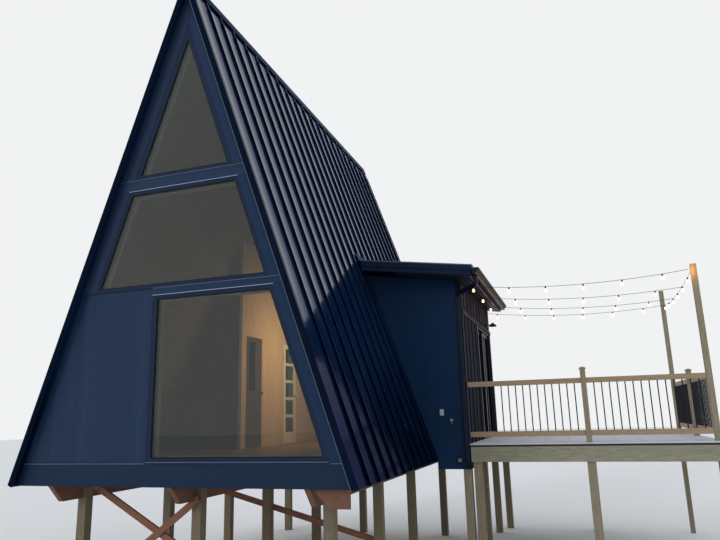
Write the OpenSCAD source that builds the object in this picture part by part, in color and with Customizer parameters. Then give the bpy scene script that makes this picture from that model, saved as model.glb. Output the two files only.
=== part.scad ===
// A-frame cabin on timber posts, with a side wing and a railed deck.
// Millimetres, +Z up. The origin is the middle of the foot of the front centre post,
// on the lowest ground. +Y runs into the cabin, +X towards the wing and the deck.

/* [Foundation] */
// Height of the floor's lower edge above the lowest ground
base_h = 1800; // [1500:10:2600]
// Side of a square foundation post
pier_w = 140; // [110:1:190]
// From the front face to the first row of posts
pier_in = 678; // [450:1:900]
// Spacing of the first rows of posts
pier_step = 2033; // [1500:1:2500]
// From the middle line to the outer posts
pier_side = 1912; // [1500:1:2150]
// Thickness of a floor beam
beam_t = 76; // [45:1:95]
// Height of a floor beam
beam_h = 225; // [140:1:300]
// Length of the slanted cut under a beam's end
beam_cut = 215; // [50:1:300]
// From the front face back to a beam's end
beam_in = 20; // [0:1:80]
// Width of a brace
brace_w = 89; // [60:1:140]
// Thickness of a brace
brace_t = 38; // [25:1:50]
// From the left post to the first brace's upper end
brace_from = 190; // [150:5:300]
// From the floor down to the first brace's upper end
first_head = 20; // [0:5:100]
// From the floor down to its lower end
first_foot = 945; // [700:5:1200]
// From the floor down to the second brace's upper end
second_head = 240; // [180:5:400]
// From the ground up to its lower end
second_foot = 140; // [100:5:400]
// From the floor down to the third brace's upper end
third_head = 120; // [80:5:300]
// From the floor down to its lower end
third_foot = 1085; // [900:5:1300]
// From the cabin's edge in to the outrigger's end
outrigger_in = 130; // [80:5:250]

/* [Cabin] */
// Half of the cabin's width at the floor's lower edge
half_w = 2520; // [2300:10:3000]
// Height of the gable's peak above the floor's lower edge
apex_h = 7300; // [6900:10:8200]
// Length of the cabin between its two faces
cabin_len = 8230; // [7900:10:9500]
// Height of the finished floor above the floor's lower edge
floor_up = 295; // [240:1:360]
// Thickness of the roof's frame, square to the slope
roof_t = 190; // [150:1:210]
// Thickness of the framed walls
wall_t = 140; // [90:1:190]
// Thickness of the boards on the faces
face_t = 35; // [25:1:45]
// Thickness of the grooved panels
panel_t = 16; // [9:1:20]
// Distance between the grooves of a panel
groove_step = 203; // [100:1:305]
// Width of a groove
groove_w = 10; // [6:1:14]
// Depth of a groove
groove_deep = 6; // [3:1:8]
// Width of the board along a rake
rake_w = 215; // [200:1:235]
// Height of the board along the bottom of a face
skirt_h = 292; // [230:1:300]

/* [Front windows] */
// Width of a window frame's level and upright bars
frame_w = 55; // [45:1:70]
// Depth of a window frame
frame_d = 110; // [90:1:130]
// From the front boards' face back to the window frames' face
frame_back = 4; // [2:1:10]
// From the front boards' face back to the front glass
glass_back = 18; // [12:1:40]
// Width of the upright bar beside the lower window
side_bar = 75; // [60:1:90]
// Thickness of the glass units
glass_t = 24; // [16:1:32]
// From the roof's outer line to the glass, square to the slope
glass_in = 270; // [250:1:300]
// The same for the top window
top_glass_in = 294; // [270:1:320]
// From the middle line to the lower glass's left edge
lower_left = 330; // [200:5:700]
// Bottom of the lower glass above the floor's lower edge
lower_sill = 361; // [350:1:500]
// Height of the lower glass
lower_glass_h = 2104; // [1800:1:2150]
// From the lower glass up to the middle one
low_gap = 212; // [180:1:300]
// Height of the middle glass
middle_glass_h = 1357; // [1250:1:1450]
// From the middle glass up to the top one
up_gap = 275; // [200:1:350]

/* [Metal roof] */
// Thickness of the metal with its backing
metal_t = 15; // [8:1:20]
// Height of a standing seam
seam_h = 25; // [18:1:38]
// Width of a standing seam
seam_w = 12; // [8:1:16]
// Distance between the seams
seam_step = 406.4; // [300:0.1:610]
// How far the roof reaches past a face
overhang = 105; // [60:1:150]
// Width of the raised trim along a rake
trim_w = 93; // [70:1:110]
// Thickness of the ridge cap
cap_t = 6; // [3:1:10]
// Width of one wing of the ridge cap, along the slope
cap_w = 170; // [120:1:240]

/* [Rear windows] */
// Width of the rear window on the lower floor
rear_low_w = 1220; // [900:10:1500]
// Height of the rear window on the lower floor
rear_low_h = 1220; // [900:10:1400]
// Width of the rear window above
rear_up_w = 915; // [600:10:1000]
// Height of the rear window above
rear_up_h = 915; // [600:10:1000]
// Sill of the lower rear window above the floor
rear_sill = 900; // [700:10:1000]
// Sill of the upper rear window above the band board
rear_up_sill = 300; // [200:10:400]
// From the side partition's face to the lower rear window's glass
rear_low_in = 110; // [80:10:300]

/* [Rooms] */
// From the middle line to the side partition's face
part_x = 869; // [700:1:1000]
// From the front face to the front partition
part_y = 3215; // [2800:5:3600]
// Thickness of a partition
part_t = 100; // [75:1:130]
// Width of an inner door
inner_w = 610; // [550:1:760]
// Height of an inner door
inner_h = 2060; // [1980:1:2100]
// Thickness of an inner door
inner_t = 40; // [30:1:45]
// From the front partition to the first inner door's opening
hall_at = 180; // [120:1:300]
// From the front partition to the second inner door's opening
room_at = 1780; // [1500:1:2200]
// Gap round a door
door_gap = 6; // [5:0.5:10]
// Thickness of the glass in the inner doors
lite_t = 6; // [4:0.5:10]
// Width of the pane in the first inner door
hall_lite_w = 240; // [150:5:300]
// Height of the pane in the first inner door
hall_lite_h = 930; // [600:5:1000]
// Width of the stile beside the panes
stile_w = 110; // [80:1:150]
// Height of a door's top rail
top_rail_h = 90; // [70:1:150]
// Number of panes in the second inner door
lite_count = 5; // [3:1:6]
// Height of each of its panes
lite_h = 300; // [200:5:300]
// Height of the bars between them
lite_bar = 60; // [30:1:80]

/* [Side wing] */
// From the front face to the wing's front wall
wing_in = 4380; // [4000:10:4800]
// From the middle line to the wing's side wall
wing_x = 3110; // [2950:10:3300]
// How far the wing's walls go below the floor's lower edge
wing_drop = 139; // [80:1:250]
// Height where the wing's roof meets the cabin, above the floor's lower edge
wing_join = 3717; // [3600:1:3900]
// Fall of the wing's roof for each unit outwards
wing_fall = 0.142; // [0.1:0.001:0.19]
// Thickness of the wing's roof, upright
wing_roof_t = 200; // [160:1:240]
// How far the wing's roof reaches past its side wall
wing_eave = 280; // [200:5:500]
// How far the wing's roof reaches past its front wall
wing_over = 519; // [400:1:600]
// Height of the fascia's lower board
fascia_h = 197; // [150:1:260]
// Height of the fascia's upper strip
fascia_top = 98; // [80:1:130]
// Thickness of a fascia board
fascia_t = 19; // [15:1:30]

/* [Gutter] */
// From the wing's roof down to the gutter's rim
gutter_down = 58; // [30:1:90]
// Height of the gutter
gutter_h = 110; // [80:1:130]
// Width of the gutter at its rim
gutter_w = 120; // [100:1:150]
// Width of the gutter's flat bottom
gutter_foot = 70; // [50:1:90]
// Height of the upright part of its front
gutter_lip = 30; // [15:1:50]
// Thickness of the gutter's walls
gutter_t = 3; // [2:0.5:5]
// From the gutter's front end to its outlet
outlet_in = 136; // [80:1:300]
// Width of the downspout
spout_w = 76; // [60:1:90]
// Depth of the downspout
spout_d = 60; // [45:1:70]
// From the gutter down to the downspout's first bend
spout_drop = 150; // [100:5:250]
// Fall of the slanted length back to the wall
spout_fall = 80; // [40:5:200]
// From the wing's corner to the middle of the downspout
spout_in = 50; // [45:1:200]
// From the wing's lower edge up to the downspout's last bend
spout_foot = 170; // [120:5:400]

/* [Patio door] */
// Width of the patio door's opening
patio_w = 1830; // [1600:10:1900]
// Height of the patio door's opening above the floor
patio_h = 2330; // [2050:10:2450]
// From the wing's rear face to the opening
patio_back = 205; // [190:1:280]
// Width of the patio door's outer frame
patio_edge = 40; // [30:1:50]
// Width of a leaf's bars
leaf_bar = 75; // [60:1:95]
// Thickness of a leaf
leaf_t = 40; // [32:1:44]
// How far the two leaves overlap when closed
leaf_lap = 60; // [50:1:80]
// From the wing's side wall in to the fixed leaf
track_in = 30; // [25:1:35]

/* [Deck] */
// From the middle line to the deck's outer edge
deck_x = 7130; // [6200:5:7600]
// How far the deck reaches past the cabin's rear face
deck_back = 600; // [400:10:900]
// Thickness of the deck boards
board_t = 25; // [20:1:38]
// Height of the deck's rim boards and joists
joist_h = 286; // [235:1:290]
// Thickness of a rim board or joist
joist_t = 38; // [35:1:50]
// Distance between joists
joist_step = 406; // [300:1:610]
// How far the boards reach past the rim
board_lip = 15; // [0:1:30]
// Side of a tall square post
tall_w = 89; // [80:1:110]
// Top of the tall front post above the deck
tall_front = 2885; // [2400:5:3200]
// Top of the tall rear post above the deck
tall_rear = 3175; // [2400:5:3400]
// Side of a railing post
post_w = 89; // [75:1:100]
// Top of a railing post above the deck
post_top = 1225; // [1150:5:1280]
// Top of the railing above the deck
rail_top = 1072; // [1000:5:1100]
// Height of a rail
rail_h = 89; // [70:1:100]
// Thickness of a rail
rail_t = 38; // [30:1:45]
// Gap between the deck and the bottom rail
rail_gap = 110; // [80:1:120]
// Distance between balusters
bal_step = 124; // [100:1:130]
// Thickness of a baluster
bal_d = 19; // [16:1:22]
// From the middle line to the railing post in the front
mid_post_x = 5113; // [4800:1:5600]
// From the deck's front to the railing post in the side
side_post_y = 2225; // [1000:5:2600]
// From the deck's edge to the middle of a rail
rail_line = 64; // [60:1:75]

/* [Light strings] */
// Height of the hooks on the wing's wall above the deck
hook_up = 2850; // [2500:5:2880]
// Height of the hooks on the tall posts above the deck
post_hook_up = 2800; // [2400:5:2850]
// How far a string sags between its ends
string_sag = 120; // [60:5:300]
// How far the wire between the tall posts sags
wire_sag = 110; // [30:5:200]
// Thickness of a string
string_d = 8; // [6:0.5:10]
// Thickness of the wire
wire_d = 5; // [4:0.5:8]
// Length of a hook
hook_len = 45; // [30:1:80]
// Thickness of a hook
hook_d = 8; // [6:0.5:12]
// From the deck's front to the second string
second_string = 1300; // [900:10:1500]
// From the deck's front to the third string
third_string = 2500; // [2100:10:2800]
// From the deck's front to the fourth string
fourth_string = 3740; // [3400:10:3780]

/* [Hidden] */

// Colours
navy = "#1d2733";
coal = "#15181c";
timber = "#8a7a5c";
red_timber = "#7a4f3c";
pine = "#c9a77a";
pane = "#7d8f8c";
deck_grey = "#b9b6ae";
zinc = "#55585a";
dark_stain = "#4a453f";
door_white = "#e6dfd2";

// The roof's slope and the cabin's main planes
slope = apex_h / half_w;
roof_ang = atan(slope);
roof_len = sqrt(half_w * half_w + apex_h * apex_h);
front_y = -pier_in;
rear_y = front_y + cabin_len;
frame_y = front_y + face_t;
rear_frame_y = rear_y - face_t;
floor_z = base_h + floor_up;
eave_y0 = front_y - overhang;
eave_y1 = rear_y + overhang;

// Clearance between slanted faces that lie on each other
seat = 0.1;

// Half width of the roof's outer line at height z
function half_at(z) = (base_h + apex_h - z) / slope;
// Level and upright distance through a layer of thickness t on the slope
function across(t) = t / sin(roof_ang);
function upright(t) = t / cos(roof_ang);
// Half width inside a layer of thickness t
function inside(z, t) = half_at(z) - across(t);

// Heights of the front's glass and bands
lower_head = lower_sill + lower_glass_h;
middle_sill = lower_head + low_gap;
middle_head = middle_sill + middle_glass_h;
top_sill = middle_head + up_gap;
low_band0 = base_h + lower_head + frame_w;
low_band1 = base_h + middle_sill - frame_w;
up_band0 = base_h + middle_head + frame_w;
up_band1 = base_h + top_sill - frame_w;
lower_frame_x = -(lower_left + side_bar);
window_y = front_y + frame_back;
skirt_top = base_h + skirt_h;
wall_y1 = frame_y + wall_t;
rear_wall_y0 = rear_frame_y - wall_t;

// Rows and columns of the foundation
pier_rows = [0, pier_step, 2 * pier_step, cabin_len - 2 * pier_in];
pier_cols = [-pier_side, 0, pier_side];

// The wing's planes
wing_y0 = front_y + wing_in;
wing_y1 = rear_y;
wing_z0 = base_h - wing_drop;
wing_join_x = half_at(base_h + wing_join);
wing_edge_x = wing_x + wing_eave;
wing_inner_x = wing_x - wall_t;
function wing_top(x) = base_h + wing_join - wing_fall * (x - wing_join_x);
function wing_under(x) = wing_top(x) - wing_roof_t;
// Where the underside of the wing's roof meets a layer of thickness t outside the slope
function wing_meet_z(t) = let (x0 = half_at(base_h) + across(t))
    (base_h + slope * x0 - slope * (base_h + wing_join + wing_fall * wing_join_x
    - wing_roof_t) / wing_fall) / (1 - slope / wing_fall);
function wing_meet_x(t) = half_at(wing_meet_z(t)) + across(t);
seam_out = metal_t + seam_h;

// The deck's planes
deck_y0 = wing_y0;
deck_y1 = rear_y + deck_back;
deck_z = floor_z;
frame_top = deck_z - board_t;
tall_x = deck_x - joist_t - tall_w;
tall_y = [deck_y0 + joist_t, deck_y1 - joist_t - tall_w];

// The partition's doorways and the patio door's opening
part_y0 = front_y + part_y;
part_y1 = part_y0 + part_t;
open_w = inner_w + 2 * door_gap;
hall_y = part_y1 + hall_at;
room_y = part_y1 + room_at;
open_top = floor_z + inner_h + 2 * door_gap;
patio_y1 = wing_y1 - patio_back;
patio_y0 = patio_y1 - patio_w;
patio_z1 = floor_z + patio_h;
leaf_w = (patio_w - 2 * patio_edge + leaf_lap) / 2 - door_gap;
leaf_z0 = floor_z + patio_edge + door_gap;
leaf_z1 = patio_z1 - patio_edge - door_gap;
track_x = wing_x - track_in;

// An outline in X and Z, drawn out along Y
module along_y(y0, y1) {
    translate([0, y1, 0]) rotate([90, 0, 0]) linear_extrude(y1 - y0) children();
}

// An outline in Y and Z, drawn out along X
module along_x(x0, x1) {
    translate([x0, 0, 0]) rotate([90, 0, 90]) linear_extrude(x1 - x0) children();
}

// A box between two corners
module box(a, b) {
    translate(a) cube([b[0] - a[0], b[1] - a[1], b[2] - a[2]]);
}

// The part of the gable between two heights, a layer of thickness t inside the roof's line
module gable(z0, z1, t) {
    polygon([[-inside(z0, t), z0], [inside(z0, t), z0], [inside(z1, t), z1], [-inside(z1, t), z1]]);
}

// Local frame on the right slope: -X runs up the slope from the eave, Z stands out of it
module on_right() {
    translate([half_w, 0, base_h]) rotate([0, roof_ang, 0]) children();
}

module on_left() {
    mirror([1, 0, 0]) on_right() children();
}

// Foundation posts, notched for the beams
module foundation_posts() {
    color(timber)
    for (x = pier_cols, y = pier_rows)
        along_y(y - pier_w / 2, y + pier_w / 2)
            polygon([[x - pier_w / 2, 0], [x + pier_w / 2, 0], [x + pier_w / 2, base_h],
                [x - pier_w / 2 + beam_t, base_h], [x - pier_w / 2 + beam_t, base_h - beam_h],
                [x - pier_w / 2, base_h - beam_h]]);
}

// Beams along the cabin, with slanted ends, and the short outrigger under the right corner
module floor_beams() {
    y0 = front_y + beam_in;
    y1 = rear_y - beam_in;
    color(red_timber) {
        for (x = pier_cols)
            along_x(x - pier_w / 2, x - pier_w / 2 + beam_t)
                polygon([[y0, base_h], [y1, base_h], [y1 - beam_cut, base_h - beam_h],
                    [y0 + beam_cut, base_h - beam_h]]);
        outrigger();
    }
}

module outrigger() {
    x0 = pier_side - pier_w / 2 + beam_t;
    x1 = half_w - outrigger_in;
    y0 = front_y + 2 * face_t + beam_in;
    along_y(y0, y0 + brace_t)
        polygon([[x0, base_h], [x1, base_h], [x1, base_h - beam_h], [x0 + beam_cut, base_h - beam_h]]);
}

// A brace in a plane across the cabin, through two points of its middle line.
// It stops at the floor and at the outer posts' faces and is cut round the beams.
module brace(a, b, y) {
    side = pier_side + pier_w / 2;
    along_y(y, y + brace_t)
    difference() {
        intersection() {
            translate(a) rotate(atan2(b[1] - a[1], b[0] - a[0]))
                translate([-brace_w, -brace_w / 2])
                    square([norm(b - a) + 2 * brace_w, brace_w]);
            translate([-side, 0]) square([2 * side, base_h]);
        }
        for (x = pier_cols)
            translate([x - pier_w / 2, base_h - beam_h]) square([beam_t, beam_h + 1]);
    }
}

// Two braces cross in front of the first row of posts, one stands behind the second row
module cross_braces() {
    first_y = -pier_w / 2 - brace_t;
    color(red_timber) {
        brace([brace_from - pier_side, base_h - first_head], [0, base_h - first_foot], first_y);
        brace([0, base_h - second_head], [-pier_side, second_foot], first_y - brace_t - seat);
        brace([brace_w - pier_side, base_h - third_head], [pier_side, base_h - third_foot],
            pier_step + pier_w / 2);
    }
}

// The floor's frame and boards between the two slopes
module cabin_floor() {
    color(pine) along_y(frame_y, rear_frame_y) gable(base_h, floor_z, roof_t);
}

// Boards across the front: the skirt, the band right of the panels and the upper band
module front_cross() {
    gable(base_h, skirt_top, 0);
    polygon([[lower_frame_x, low_band0], [half_at(low_band0), low_band0],
        [half_at(low_band1), low_band1], [lower_frame_x, low_band1]]);
    gable(up_band0, up_band1, 0);
}

// Boards across the rear
module rear_cross() {
    gable(base_h, skirt_top, 0);
    gable(low_band0, low_band1, 0);
    gable(up_band0, up_band1, 0);
}

// A board along the right rake between two heights
module rake(z0, z1) {
    polygon([[inside(z0, rake_w), z0], [half_at(z0), z0], [half_at(z1), z1], [inside(z1, rake_w), z1]]);
}

// The rake boards beside the middle window and up to the peak
module upper_rakes() {
    for (side = [0, 1])
        mirror([side, 0]) rake(low_band1, up_band0);
    polygon([[-half_at(up_band1), up_band1], [-inside(up_band1, rake_w), up_band1],
        [0, base_h + apex_h - upright(rake_w)], [inside(up_band1, rake_w), up_band1],
        [half_at(up_band1), up_band1], [0, base_h + apex_h]]);
}

module front_boards() {
    color(navy) along_y(front_y, frame_y) front_cross();
}

module front_rake_boards() {
    color(navy) along_y(front_y, frame_y) {
        rake(skirt_top, low_band0);
        upper_rakes();
    }
}

// Grooved panels on a plane that looks to the front
module grooves(x0, x1, z0, z1, y) {
    for (x = [x0 : groove_step : x1])
        box([x, y, z0 - 1], [x + groove_w, y + groove_deep, z1 + 1]);
}

// The panels at the lower left reach up to the middle window
module front_panels() {
    color(navy)
    difference() {
        along_y(frame_y - panel_t, frame_y)
            polygon([[-half_at(skirt_top), skirt_top], [lower_frame_x, skirt_top],
                [lower_frame_x, low_band1], [-half_at(low_band1), low_band1]]);
        translate([0, -1, 0])
            grooves(-half_w + groove_step / 2, lower_frame_x - groove_w, skirt_top, low_band1,
                frame_y - panel_t);
    }
}

// The framed wall beside the lower window and the two headers behind the bands
module front_wall() {
    color(pine) along_y(frame_y, wall_y1) {
        polygon([[-inside(floor_z, roof_t), floor_z], [lower_frame_x, floor_z],
            [lower_frame_x, low_band0], [-inside(low_band0, roof_t), low_band0]]);
        gable(low_band0, low_band1, roof_t);
        gable(up_band0, up_band1, roof_t);
    }
}

// Outlines of the three front panes
module lower_pane() {
    z0 = base_h + lower_sill;
    z1 = base_h + lower_head;
    polygon([[-lower_left, z0], [inside(z0, glass_in), z0], [inside(z1, glass_in), z1],
        [-lower_left, z1]]);
}

module middle_pane() {
    gable(base_h + middle_sill, base_h + middle_head, glass_in);
}

module top_pane() {
    z0 = base_h + top_sill;
    polygon([[-inside(z0, top_glass_in), z0], [inside(z0, top_glass_in), z0],
        [0, base_h + apex_h - upright(top_glass_in)]]);
}

// Outlines of the front windows' frames, out to a layer of thickness t inside the roof's line
module lower_window(z0, t) {
    difference() {
        polygon([[lower_frame_x, z0], [inside(z0, t), z0], [inside(low_band0, t), low_band0],
            [lower_frame_x, low_band0]]);
        lower_pane();
    }
}

module middle_window(t) {
    difference() {
        gable(low_band1, up_band0, t);
        middle_pane();
    }
}

module top_window(t) {
    difference() {
        polygon([[-inside(up_band1, t), up_band1], [inside(up_band1, t), up_band1],
            [0, base_h + apex_h - upright(t)]]);
        top_pane();
    }
}

// Between the boards the frames come out to their face, behind them they reach the rafters
module front_window_frames() {
    color(coal) {
        along_y(window_y, frame_y) {
            lower_window(skirt_top, rake_w);
            middle_window(rake_w);
            top_window(rake_w);
        }
        along_y(frame_y, window_y + frame_d) {
            lower_window(floor_z, roof_t);
            middle_window(roof_t);
            top_window(roof_t);
        }
    }
}

module front_glass() {
    y0 = front_y + glass_back;
    color(pane) along_y(y0, y0 + glass_t) {
        lower_pane();
        middle_pane();
        top_pane();
    }
}

// One side of the roof's frame
module roof_half() {
    along_y(frame_y, rear_frame_y)
        polygon([[half_w, base_h], [0, base_h + apex_h], [0, base_h + apex_h - upright(roof_t)],
            [half_w - across(roof_t), base_h]]);
}

module roof_frame_left() {
    color(pine) mirror([1, 0, 0]) roof_half();
}

// The right side is open into the wing
module roof_frame_right() {
    color(pine)
    difference() {
        roof_half();
        box([wing_join_x - roof_t - half_w, wing_y0 + wall_t, floor_z],
            [half_w, rear_frame_y - wall_t, wing_meet_z(0)]);
    }
}

// Metal with its standing seams, in the slope's local frame
seam_count = floor((cabin_len - 2 * seam_w) / seam_step);
seam_y0 = eave_y0 + trim_w + seam_step;

module metal_sheet() {
    translate([-roof_len, eave_y0, seat]) cube([roof_len, eave_y1 - eave_y0, metal_t - seat]);
    for (i = [0 : seam_count - 1])
        if (seam_y0 + i * seam_step < eave_y1 - trim_w - seam_w)
            translate([-roof_len, seam_y0 + i * seam_step - seam_w / 2, metal_t])
                cube([roof_len, seam_w, seam_h]);
}

module roof_metal_left() {
    color(coal) on_left() metal_sheet();
}

// The wing takes the place of the metal below its roof
join_len = wing_join / sin(roof_ang);

module below_wing() {
    y0 = wing_y0 - seat;
    translate([-join_len - seat, y0, -1]) cube([join_len + 1, eave_y1 - y0 + 1, seam_out + 2]);
}

module roof_metal_right() {
    color(coal)
    on_right()
    difference() {
        metal_sheet();
        below_wing();
    }
}

// Raised trims along the rakes
module trim(y) {
    translate([-roof_len, y, metal_t]) cube([roof_len, trim_w, seam_h]);
}

module rake_trims() {
    color(coal) {
        on_left() {
            trim(eave_y0);
            trim(eave_y1 - trim_w);
        }
        on_right() {
            trim(eave_y0);
            difference() {
                trim(eave_y1 - trim_w);
                below_wing();
            }
        }
    }
}

// The ridge cap rests on the seams
module ridge_cap() {
    run = cap_w * cos(roof_ang);
    drop = cap_w * sin(roof_ang);
    top = base_h + apex_h + upright(seam_out);
    color(coal) along_y(eave_y0, eave_y1)
        polygon([[0, top + upright(cap_t)], [run, top + upright(cap_t) - drop],
            [run - across(cap_t), top + upright(cap_t) - drop], [0, top],
            [-run + across(cap_t), top + upright(cap_t) - drop],
            [-run, top + upright(cap_t) - drop]]);
}

// The rear wall with a plain window on each floor
rear_low_z = floor_z + rear_sill;
rear_up_z = low_band1 + rear_up_sill;
rear_low_x = -part_x + rear_low_in;

module rear_holes(grow) {
    translate([rear_low_x - grow, rear_low_z - grow])
        square([rear_low_w + 2 * grow, rear_low_h + 2 * grow]);
    translate([-rear_up_w / 2 - grow, rear_up_z - grow])
        square([rear_up_w + 2 * grow, rear_up_h + 2 * grow]);
}

module rear_wall() {
    color(pine) along_y(rear_wall_y0, rear_frame_y)
    difference() {
        gable(floor_z, base_h + apex_h - upright(roof_t) - 1, roof_t);
        rear_holes(frame_w);
    }
}

module rear_panels() {
    color(navy)
    difference() {
        along_y(rear_frame_y, rear_frame_y + panel_t)
        difference() {
            gable(skirt_top, base_h + apex_h - upright(rake_w) - 1, rake_w + seat);
            gable(low_band0, low_band1, 0);
            gable(up_band0, up_band1, 0);
            rear_holes(frame_w);
        }
        translate([0, rear_frame_y + panel_t + 1, 0]) mirror([0, 1, 0])
            grooves(-half_w + groove_step / 2, half_w, skirt_top, base_h + apex_h, 0);
    }
}

module rear_boards() {
    color(navy) along_y(rear_frame_y, rear_y) rear_cross();
}

module rear_rake_boards() {
    color(navy) along_y(rear_frame_y, rear_y) {
        for (side = [0, 1])
            mirror([side, 0]) rake(skirt_top, low_band0);
        upper_rakes();
    }
}

module rear_window_frames() {
    color(coal) along_y(rear_frame_y + panel_t - frame_d, rear_frame_y + panel_t)
    difference() {
        rear_holes(frame_w);
        rear_holes(0);
    }
}

module rear_glass() {
    y0 = rear_frame_y + panel_t - (frame_d + glass_t) / 2;
    color(pane) along_y(y0, y0 + glass_t) rear_holes(0);
}

// Partitions of the closed rooms on the left
part_top = base_h + apex_h - upright(roof_t + seat) - slope * part_x;
part_back_top = part_top - slope * part_t;

module front_partition() {
    color(pine) along_y(part_y0, part_y1)
        polygon([[-inside(floor_z, roof_t + seat), floor_z], [-part_x, floor_z], [-part_x, part_top]]);
}

module side_partition() {
    color(pine)
    for (y = [[part_y1, hall_y], [hall_y + open_w, room_y], [room_y + open_w, rear_wall_y0]])
        box([-part_x - part_t, y[0], floor_z], [-part_x, y[1], open_top]);
}

module partition_top() {
    color(pine) along_y(part_y1, rear_wall_y0)
        polygon([[-part_x - part_t, open_top], [-part_x, open_top], [-part_x, part_top],
            [-part_x - part_t, part_back_top]]);
}

// Inner doors, flush with the partition's face, with a knob on each side
knob_up = 1000;
knob_in = 65;
knob_r = 27;
knob_out = 42;
knob_len = 30;
spindle_r = 12;
// Hinges: a knuckle on the leaf stands on a knuckle on the partition
knuckle_r = 6;
knuckle_h = 45;
plate_w = 35;
plate_t = 3;
hinge_play = 0.3;
hinge_at = [200, 1750];

// Half a hinge: side 1 is the leaf's, side -1 the partition's
module half_hinge(y, z, side) {
    translate([-part_x + knuckle_r, y + door_gap / 2, z]) cylinder(h = knuckle_h, r = knuckle_r, $fn = 24);
    y0 = y + door_gap / 2;
    box([-part_x, min(y0, y0 + side * plate_w), z],
        [-part_x + plate_t, max(y0, y0 + side * plate_w), z + knuckle_h]);
}

// The panes are children, in Y and Z from the leaf's top corner at its hinges
module inner_leaf(y) {
    y0 = y + door_gap;
    z0 = floor_z + door_gap;
    along_x(-part_x - inner_t, -part_x)
    difference() {
        translate([y0, z0]) square([inner_w, inner_h]);
        translate([y0, z0 + inner_h]) children();
    }
    for (z = hinge_at)
        half_hinge(y, floor_z + z + knuckle_h + hinge_play, 1);
    translate([-part_x - inner_t / 2, y0 + inner_w - knob_in, z0 + knob_up])
    rotate([0, 90, 0]) {
        cylinder(h = inner_t + 2 * knob_out, r = spindle_r, center = true, $fn = 24);
        for (side = [-1, 1])
            translate([0, 0, side * (inner_t / 2 + knob_out)])
                cylinder(h = knob_len, r = knob_r, center = true, $fn = 32);
    }
}

module door_hinges() {
    color(zinc)
    for (y = [hall_y, room_y], z = hinge_at)
        half_hinge(y, floor_z + z, -1);
}

module hall_lite() {
    translate([stile_w, -top_rail_h - hall_lite_h]) square([hall_lite_w, hall_lite_h]);
}

module room_lites() {
    for (i = [1 : lite_count])
        translate([stile_w, -top_rail_h - i * lite_h - (i - 1) * lite_bar])
            square([inner_w - 2 * stile_w, lite_h]);
}

module lites_at(y) {
    color(pane) along_x(-part_x - (inner_t + lite_t) / 2, -part_x - (inner_t - lite_t) / 2)
        translate([y + door_gap, floor_z + door_gap + inner_h]) children();
}

module hall_door() {
    color(dark_stain) inner_leaf(hall_y) hall_lite();
}

module hall_door_glass() {
    lites_at(hall_y) hall_lite();
}

module room_door() {
    color(door_white) inner_leaf(room_y) room_lites();
}

module room_door_glass() {
    lites_at(room_y) room_lites();
}

// The wing's floor, walls and roof
module wing_floor() {
    color(pine) along_y(wing_y0 + wall_t, wing_y1 - face_t - wall_t)
        polygon([[inside(base_h, -seat), base_h], [wing_inner_x, base_h], [wing_inner_x, floor_z],
            [inside(floor_z, -seat), floor_z]]);
}

module wing_cross(x1) {
    x0 = inside(base_h, -seat);
    polygon([[x0, wing_z0], [x1, wing_z0], [x1, wing_under(x1) - seat],
        [wing_meet_x(seat), wing_meet_z(seat) - seat], [x0, base_h]]);
}

module wing_front_wall() {
    color(navy) along_y(wing_y0, wing_y0 + wall_t) wing_cross(wing_x);
}

module wing_rear_wall() {
    color(navy) along_y(wing_y1 - face_t - wall_t, wing_y1 - face_t) wing_cross(wing_x);
}

// The side wall stands beside and over the patio door's opening
module wing_side(y0, y1, z0) {
    along_y(y0, y1)
        polygon([[wing_inner_x, z0], [wing_x, z0], [wing_x, wing_under(wing_x) - seat],
            [wing_inner_x, wing_under(wing_inner_x) - seat]]);
}

module wing_side_wall() {
    color(navy) {
        wing_side(wing_y0 + wall_t, patio_y0, wing_z0);
        wing_side(patio_y1, wing_y1 - face_t - wall_t, wing_z0);
        box([wing_inner_x, patio_y0, wing_z0], [wing_x, patio_y1, floor_z]);
    }
}

module wing_door_header() {
    color(navy) wing_side(patio_y0, patio_y1, patio_z1);
}

// The wing's roof meets the cabin's frame behind its front wall, and the seams in front of it
module wing_roof() {
    y0 = wing_y0 - wing_over;
    color(coal)
    difference() {
        along_y(y0, eave_y1) wing_slab();
        on_right() translate([-roof_len, y0 - 1, -1])
            cube([roof_len, wing_over + 1, seam_out + seat + 1]);
    }
}

// The roof's cross section, its upper end cut along the cabin's slope
module wing_slab() {
    x0 = wing_join_x + across(seat);
    polygon([[wing_meet_x(seat), wing_meet_z(seat)], [wing_edge_x, wing_under(wing_edge_x)],
        [wing_edge_x, wing_top(wing_edge_x)], [x0, wing_top(x0)]]);
}

// Two stepped fascia boards along the front and the eave
module wing_fascia() {
    y0 = wing_y0 - wing_over;
    color(navy) {
        along_y(y0 - fascia_t, y0) fascia_strip(fascia_h);
        along_y(y0 - 2 * fascia_t, y0 - fascia_t) fascia_strip(fascia_top);
        along_y(eave_y1, eave_y1 + fascia_t) fascia_strip(fascia_h);
        eave_strip(y0 - fascia_t, eave_y1 + fascia_t, wing_edge_x, fascia_h);
        eave_strip(y0 - 2 * fascia_t, eave_y1 + fascia_t, wing_edge_x + fascia_t, fascia_top);
    }
}

module fascia_strip(h) {
    x0 = wing_meet_x(seam_out);
    x1 = wing_edge_x + fascia_t;
    polygon([[x0, wing_top(x0) - h], [x1, wing_top(x1) - h], [x1, wing_top(x1)], [x0, wing_top(x0)]]);
}

module eave_strip(y0, y1, x, h) {
    z1 = wing_top(wing_edge_x + fascia_t);
    box([x, y0, z1 - h], [x + fascia_t, y1, z1]);
}

// The gutter along the eave, open at its top, with a slanted front
gutter_x = wing_edge_x + 2 * fascia_t;
gutter_z = wing_top(wing_edge_x + fascia_t) - gutter_down - gutter_h;
gutter_y0 = wing_y0 - wing_over - fascia_t;
gutter_y1 = eave_y1;

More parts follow.
